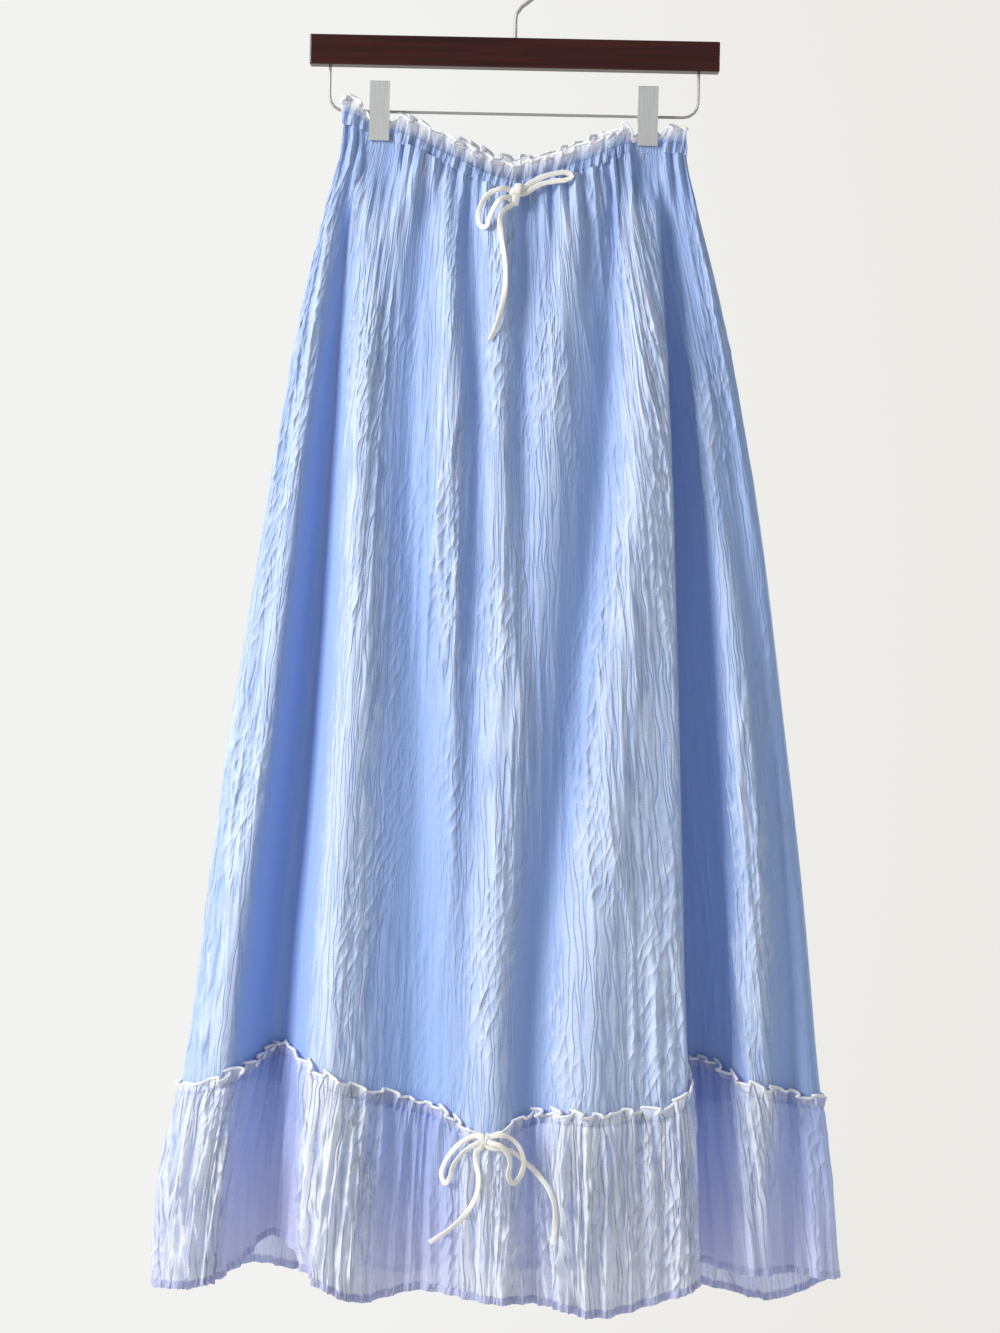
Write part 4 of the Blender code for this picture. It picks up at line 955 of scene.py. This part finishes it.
def make_waist(cloth, finishes):
    """Casing with fine gathers, and the frill above it with its pale rolled edge."""
    rows = GRIDS["waist"]["rows"]
    x, _out = plain_section(cloth.side, cloth.s, cloth.waist)
    frill = FRILL * (1 - FRILL_PRESSED * pressed(x, cloth.waist - CASING - FRILL))
    tall = CASING + frill
    grid = Grid(cloth, "waist", cloth.waist - tall, cloth.waist, np.linspace(0, 1, rows))
    u, v = grid.u, grid.v
    below = grid.below(cloth.waist)
    above = np.clip(-(below + CASING) / grid.read(frill), 0, 1)
    casing = np.clip(-below / CASING, 0, 1)
    puffed = CASING_FORM["puff"] * np.sin(math.pi * casing) ** CASING_FORM["square"]
    crinkles = crinkle(grid) * CASING_FORM["crinkles"]
    leant = u + CASING_FORM["lean"] * v
    creases = CASING_FORM["creases"] * gather_creases(leant, 0 * v, 0 * v, WAIST_CREASES[:1], grid.seed)
    even = grid.gathers(WAIST_GATHERS) * (CASING_FORM["even"] - FRILL_FORM["even"] * above)
    wave, along, down = lettuce(grid, above ** FRILL_FORM["reach"], FRILL_WAVES)
    out = even + crinkles + creases * (1 - FRILL_FORM["creases"] * above) + puffed * (above == 0) + wave
    points = grid.moved(out, along, down)
    rise = FRILL_TONE["least"] + FRILL_TONE["rise"] * above ** FRILL_TONE["power"]
    # Both tones paint light and shade along the creases; the frill's also grows paler up to its edge.
    tones = {"casing": grid.tone_with_painted_shade(CASING_CREASE_PAINTED_LIGHT * creases), "frill": rise + FRILL_TONE["creases"] * creases}
    word = cloth.word
    cut = int(np.argmax((above == 0).mean(axis=1) > 0.5))
    band, ruffle = (
        sheet_mesh(
            f"waist_{kind}_{word}", points[part], u[part], v[part], tones[kind][part], finishes[finish]
        )
        for kind, finish, part in (
            ("casing", "body", slice(cut, None)), ("frill", "frill", slice(0, cut + 1)),
        )
    )
    edge = rolled_edge(f"waist_rolled_edge_{word}", points[0], ROLLED_EDGE, finishes)
    seams = [
        stitch_row(f"waist_stitches_{place}_{word}", points[row], grid.out[row], finishes)
        for place, row in (("high", cut + 1), ("low", rows - 2))
    ]
    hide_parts(f"waist_ruffle_{word}")


def make_flounce(cloth, finishes):
    """The sheer flounce: a rolled heading, a gathered seam and deep crinkles to the hem."""
    heading = cloth.seam - HEADING
    laid_share = (HEADING + LAP) / np.mean(cloth.hem - heading)
    upper = np.linspace(0, laid_share, LAID_ROWS, endpoint=False)
    shares = np.concatenate([upper, np.linspace(laid_share, 1, GRIDS["flounce"]["rows"] - LAID_ROWS)])
    grid = Grid(cloth, "flounce", heading, cloth.hem, shares)
    u, v = grid.u, grid.v
    below = grid.below(cloth.seam)
    total = grid.read(cloth.hem - cloth.seam)
    laid = np.clip((below + HEADING) / (HEADING + LAP), 0, 1)
    fall = np.clip((below - LAP) / (total - LAP), 0, 1)
    away, tall = (
        np.where(
            below < LAP,
            np.interp(laid, FLOUNCE_LAID["share"], FLOUNCE_LAID[key]),
            np.interp(fall, FLOUNCE_FALL["share"], FLOUNCE_FALL[key]),
        )
        for key in ("away", "height")
    )
    above = np.clip(-below / HEADING, 0, 1)
    crinkles = crinkle(grid) * grown(FLOUNCE_TOP, below) * (1 - above) * grid.on_ridges()
    height = crinkles + gather_creases(u, v, below, SEAM_CREASES, grid.seed)
    pinch = SEAM_PINCH["depth"] * bell(below / SEAM_PINCH["width"])
    wave, along, down = lettuce(grid, above, HEADING_WAVES)
    out = away + grid.gathers(FLOUNCE_GATHERS) * FLOUNCE_GATHERS_SHARE * tall - pinch + wave
    points = grid.moved(out + height * grid.calm(), along, down)
    hem = ease(below - total + HEM["fold"])
    # The tone paints shade into hollows and light on ridges and crinkle tops; the hem is darker and the
    # heading paler.
    tone = grid.tone_with_painted_shade(height) - FLOUNCE_TONE["hem"] * hem + FLOUNCE_TONE["heading"] * above
    low = ease(np.clip(below / total, 0, 1) * LOW_TONE["fall"] - LOW_TONE["start"])
    low = np.maximum(low, LOW_TONE["heading"] * ease(2 * above))
    word = cloth.word
    made = sheet_mesh(f"ruffle_{word}", points, u, v, tone, finishes["flounce"], low)
    edge = rolled_edge(f"ruffle_rolled_edge_{word}", points[0], HEADING_ROLL, finishes)
    at_seam = int(np.argmin(np.abs(below.mean(axis=1))))
    seam = stitch_row(f"ruffle_stitches_{word}", points[at_seam], grid.out[at_seam], finishes)
    fold = make_hem_fold(f"ruffle_hem_{word}", points, grid.out[-1], u[-1], v[-1], finishes)
    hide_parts(f"flounce_{word}")


def make_hem_fold(name, points, out, u, v, finishes):
    """The turned-up layer of the hem, just outside the flounce's lower edge."""
    up = unit(points[-2] - points[-1])
    shares = np.linspace(0, 1, HEM["rows"])
    lifts = HEM["lift"] * np.sin(math.pi * np.minimum(shares + HEM["turned"], 1))
    rows = np.array([points[-1] + up * HEM["fold"] * a + out * b for a, b in zip(shares, lifts)])
    across = np.tile(u, (len(shares), 1))
    v, tone = v - shares[:, None] * HEM["fold"], np.full(across.shape, HEM["tone"])
    return sheet_mesh(name, rows, across, v, tone, finishes["flounce"], 1.0)


def cloth_face(x, drop, on_flounce):
    """The y of the outermost cloth of the solid at a place on the front, gathers included."""
    s = np.linspace(-EDGE_SHARE, EDGE_SHARE, FACE_STEPS)
    places, _out = plain_section(FRONT, s, np.full_like(s, drop))
    share = np.array([np.interp(x, places, s)])
    middle = surface(FRONT, share, np.array([drop]))[0, 1]
    if on_flounce:
        top, bottom = (through(*zip(*line[FRONT]), x) for line in (SEAM_LINE, HEM_LINE))
        fall = (drop - top - LAP) / (bottom - top - LAP)
        laid, falls = (
            [a + b for a, b in zip(form["away"], form["height"])] for form in (FLOUNCE_LAID, FLOUNCE_FALL)
        )
        shares = [-HEADING / (bottom - top), *FLOUNCE_FALL["share"]]
        stands = np.interp(fall, shares, [laid[0], laid[-1], *falls[1:]])
    else:
        begins = through(*zip(*WAIST_LINE[FRONT]), x)
        stands = PANEL_GATHER_TALLEST * (1 - ease((drop - begins - GATHERS_STAND) / GATHERS_FADE))
    return middle - WALL / 2 - LOOSE - stands


def smooth_route(points, count):
    """Points at even steps along a smooth curve through the route's own points."""
    points = np.asarray(points, float)
    knots = lengths_along(points)
    fine = np.linspace(0, knots[-1], ROUTE_STEPS)
    curve = np.stack([through(knots, points[:, k], fine) for k in range(3)], axis=1)
    length = lengths_along(curve)
    return places_at(np.linspace(0, length[-1], count), length, curve), length[-1]


def make_cords(knots, finishes):
    """The loops and tails of the two bows, as flat soft cords."""
    for name, route in ROUTES.items():
        low = name.startswith("flounce")
        tail = "tail" in name
        tied = name[: name.index("_bow_")] + "_bow_knot"
        hub = np.array((KNOTS[tied]["x"], KNOTS[tied]["drop"], KNOT_HUB))
        ends = [tuple(hub + INTO_KNOT * (np.array(route[i]) - hub)) for i in (0, -1)]
        route = (ends[0], *route) if tail else (ends[0], *route, ends[1])
        points = [(x, cloth_face(x, drop, low) - lift, -drop) for x, drop, lift in route]
        line, length = smooth_route(points, CORD_POINTS)
        along = np.linspace(0, 1, CORD_POINTS)
        turn = TAPE["turn"] * np.sin(TAPE["twists"] * along + len(name))
        facing = np.stack([np.sin(turn), -np.cos(turn), 0 * turn], axis=1)
        width = CORD_WIDTH * (TAPE["mean"] + TAPE["swing"] * np.sin(along * TAPE["waves"]))
        piece = sweep(f"cord_{name}", line, width, TAPE["thick"], facing, finishes["cord"], *TAPE_FORM)
        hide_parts(name)
        knots.pop(tied, []) if tail else []


def make_core(name, size, centre, finish):
    """The small uneven core of a knot, which its wraps nearly hide."""
    core = bmesh.new()
    bmesh.ops.create_icosphere(core, subdivisions=4, radius=0.5)
    mesh = bpy.data.meshes.new(name)
    for vertex in core.verts:
        p = np.array(vertex.co)
        wobble = 1 + CORE_WOBBLE * math.sin(9 * p[2] + 5 * p[0]) * math.cos(7 * p[1])
        inside = np.array([whole - less for whole, less in zip(size, CORE_INSIDE)]) * wobble
        vertex.co = Vector((p * inside + centre) * MM)
    core.to_mesh(mesh)
    core.free()
    mesh.shade_smooth()
    return add_piece(name, mesh, finish)


def make_knots(finishes):
    """Each knot: cord wound round the crossing, over a small core. Gives the pieces of each."""
    knots = {}
    angles = np.linspace(0, 2 * math.pi, WRAP_POINTS)
    for name, knot in KNOTS.items():
        _width, depth, height = knot["size"]
        face = cloth_face(knot["x"], knot["drop"], name.startswith("flounce"))
        centre = np.array((knot["x"], face + knot["nearer"] - depth / 2, -knot["drop"]))
        made = make_core(f"knot_{name}", knot["size"], centre, finishes["cord"])
        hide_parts(name)
        knots[name] = [made]
        for k, (shift, lean, tall, wide) in enumerate(WRAPS[name]):
            across = shift + lean * np.sin(angles)
            out = -(depth / 2 - WRAP_INSIDE["depth"]) * np.cos(angles)
            up = tall * (height / 2 - WRAP_INSIDE["height"]) * np.sin(angles)
            wrap = np.stack([across, out, up], axis=1)
            form = wide, TAPE["thick"], unit(wrap * WRAP_FLATTER)
            name_of_wrap = f"knot_{name}_wrap_{k}"
            band = sweep(name_of_wrap, wrap + centre, *form, finishes["cord"], *WRAP_FORM)
            knots[name].append(band)
    return knots


def finish_hanger(nodes):
    """Finishes for the hanger's own solids, with the clips' edges softened."""
    timber, wire, plated = (
        grained_material(name) for name in ("lacquered_wood", "bright_wire", "satin_plate")
    )
    for name, thing in nodes.items():
        if not name.startswith(("hanger", "clip")):
            continue
        finish = timber if name == "hanger_bar" else plated if "jaw" in name else wire
        for slot in thing.material_slots:
            slot.link = "OBJECT"
            slot.material = finish
        if "jaw" in name:
            soft = thing.modifiers.new("soft edges", "BEVEL")
            soft.width = CLIP_EDGE["width"] * MM
            soft.segments = CLIP_EDGE["segments"]
            soft.limit_method = "ANGLE"
            soft.angle_limit = math.radians(CLIP_EDGE["angle"])


def make_floor():
    """A plain pale floor well below the hem."""
    mesh = bpy.data.meshes.new("floor")
    corners = [(-1, -1), (1, -1), (1, 1), (-1, 1)]
    mesh.from_pydata([(FLOOR_HALF * x, FLOOR_HALF * y, FLOOR_Z) for x, y in corners], [], [(0, 1, 2, 3)])
    floor = add_object("floor", mesh)
    made, tree, shader = new_material("pale_floor")
    feed(tree, shader, {"Base Color": (0.80, 0.79, 0.765, 1.0), "Roughness": 0.9})
    mesh.materials.append(made)


def make_light():
    """Even light all round, a little lower to one side, and the lamps."""
    world = bpy.data.worlds.new("studio")
    bpy.context.scene.world = world
    world.use_nodes = True
    tree = world.node_tree
    places = node(tree, "ShaderNodeTexCoord", output="Generated")
    split = node(tree, "ShaderNodeSeparateXYZ", {"Vector": places}).node.outputs
    depth = scaled(tree, split["Y"], 0.5, 0.5)
    depth = scaled(tree, split["X"], -SKY_LEAN, depth)
    feed(tree, tree.nodes["Background"], {"Color": ramp(tree, depth, SKY)})
    for name, light in LIGHTS.items():
        data = bpy.data.lights.new(name, "AREA")
        data.shape = "RECTANGLE"
        data.size, data.size_y = light["size"]
        data.energy = light["energy"]
        data.color = light["colour"]
        lamp = add_object(name, data)
        lamp.location = light["at"]
        aim = Vector(LIGHTS_AIM) - Vector(light["at"])
        lamp.rotation_euler = aim.to_track_quat("-Z", "Y").to_euler()


def make_camera():
    """The photograph's camera, level and turned a little, with colours as they are."""
    scene = bpy.context.scene
    scene.view_settings.view_transform = "Standard"
    data = bpy.data.cameras.new("camera")
    data.sensor_fit = "VERTICAL"
    data.sensor_height = SENSOR
    data.lens = SENSOR * -CAMERA_AT[1] / FRAME_HEIGHT
    camera = add_object("camera", data)
    turn = Vector((0, 1, 0)).to_track_quat("-Z", "Y").to_matrix().to_4x4()
    roll = Matrix.Rotation(math.radians(CAMERA_ROLL), 4, "Z")
    camera.matrix_world = Matrix.Translation(CAMERA_AT) @ turn @ roll
    scene.camera = camera


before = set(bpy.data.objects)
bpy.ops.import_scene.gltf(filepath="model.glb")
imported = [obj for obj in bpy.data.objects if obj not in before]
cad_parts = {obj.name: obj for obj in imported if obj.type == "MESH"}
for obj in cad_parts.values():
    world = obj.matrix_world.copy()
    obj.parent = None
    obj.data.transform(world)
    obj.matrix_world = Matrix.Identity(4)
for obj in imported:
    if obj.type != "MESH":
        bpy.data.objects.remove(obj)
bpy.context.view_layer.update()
make_floor()
make_light()
make_camera()
finishes = {
    "body": (gauze_material("crinkled_gauze", GAUZE_LOOKS["body"]), "gauze"),
    "frill": (gauze_material("sheer_frill", GAUZE_LOOKS["frill"]), "frill"),
    "flounce": (gauze_material("sheer_gauze_ruffle", GAUZE_LOOKS["flounce"]), "sheer_gauze"),
    "rolled": (grained_material("rolled_edge"), "frill"),
    "thread": (grained_material("sewing_thread"), "frill"),
    "cord": (grained_material("ivory_cord_weave"), "ivory_cord"),
}
make_cords(make_knots(finishes), finishes)
for direction in (FRONT, BACK):
    cloth = Side(direction)
    make_waist(cloth, finishes)
    make_panel(cloth, finishes)
    make_flounce(cloth, finishes)
finish_hanger(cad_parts)
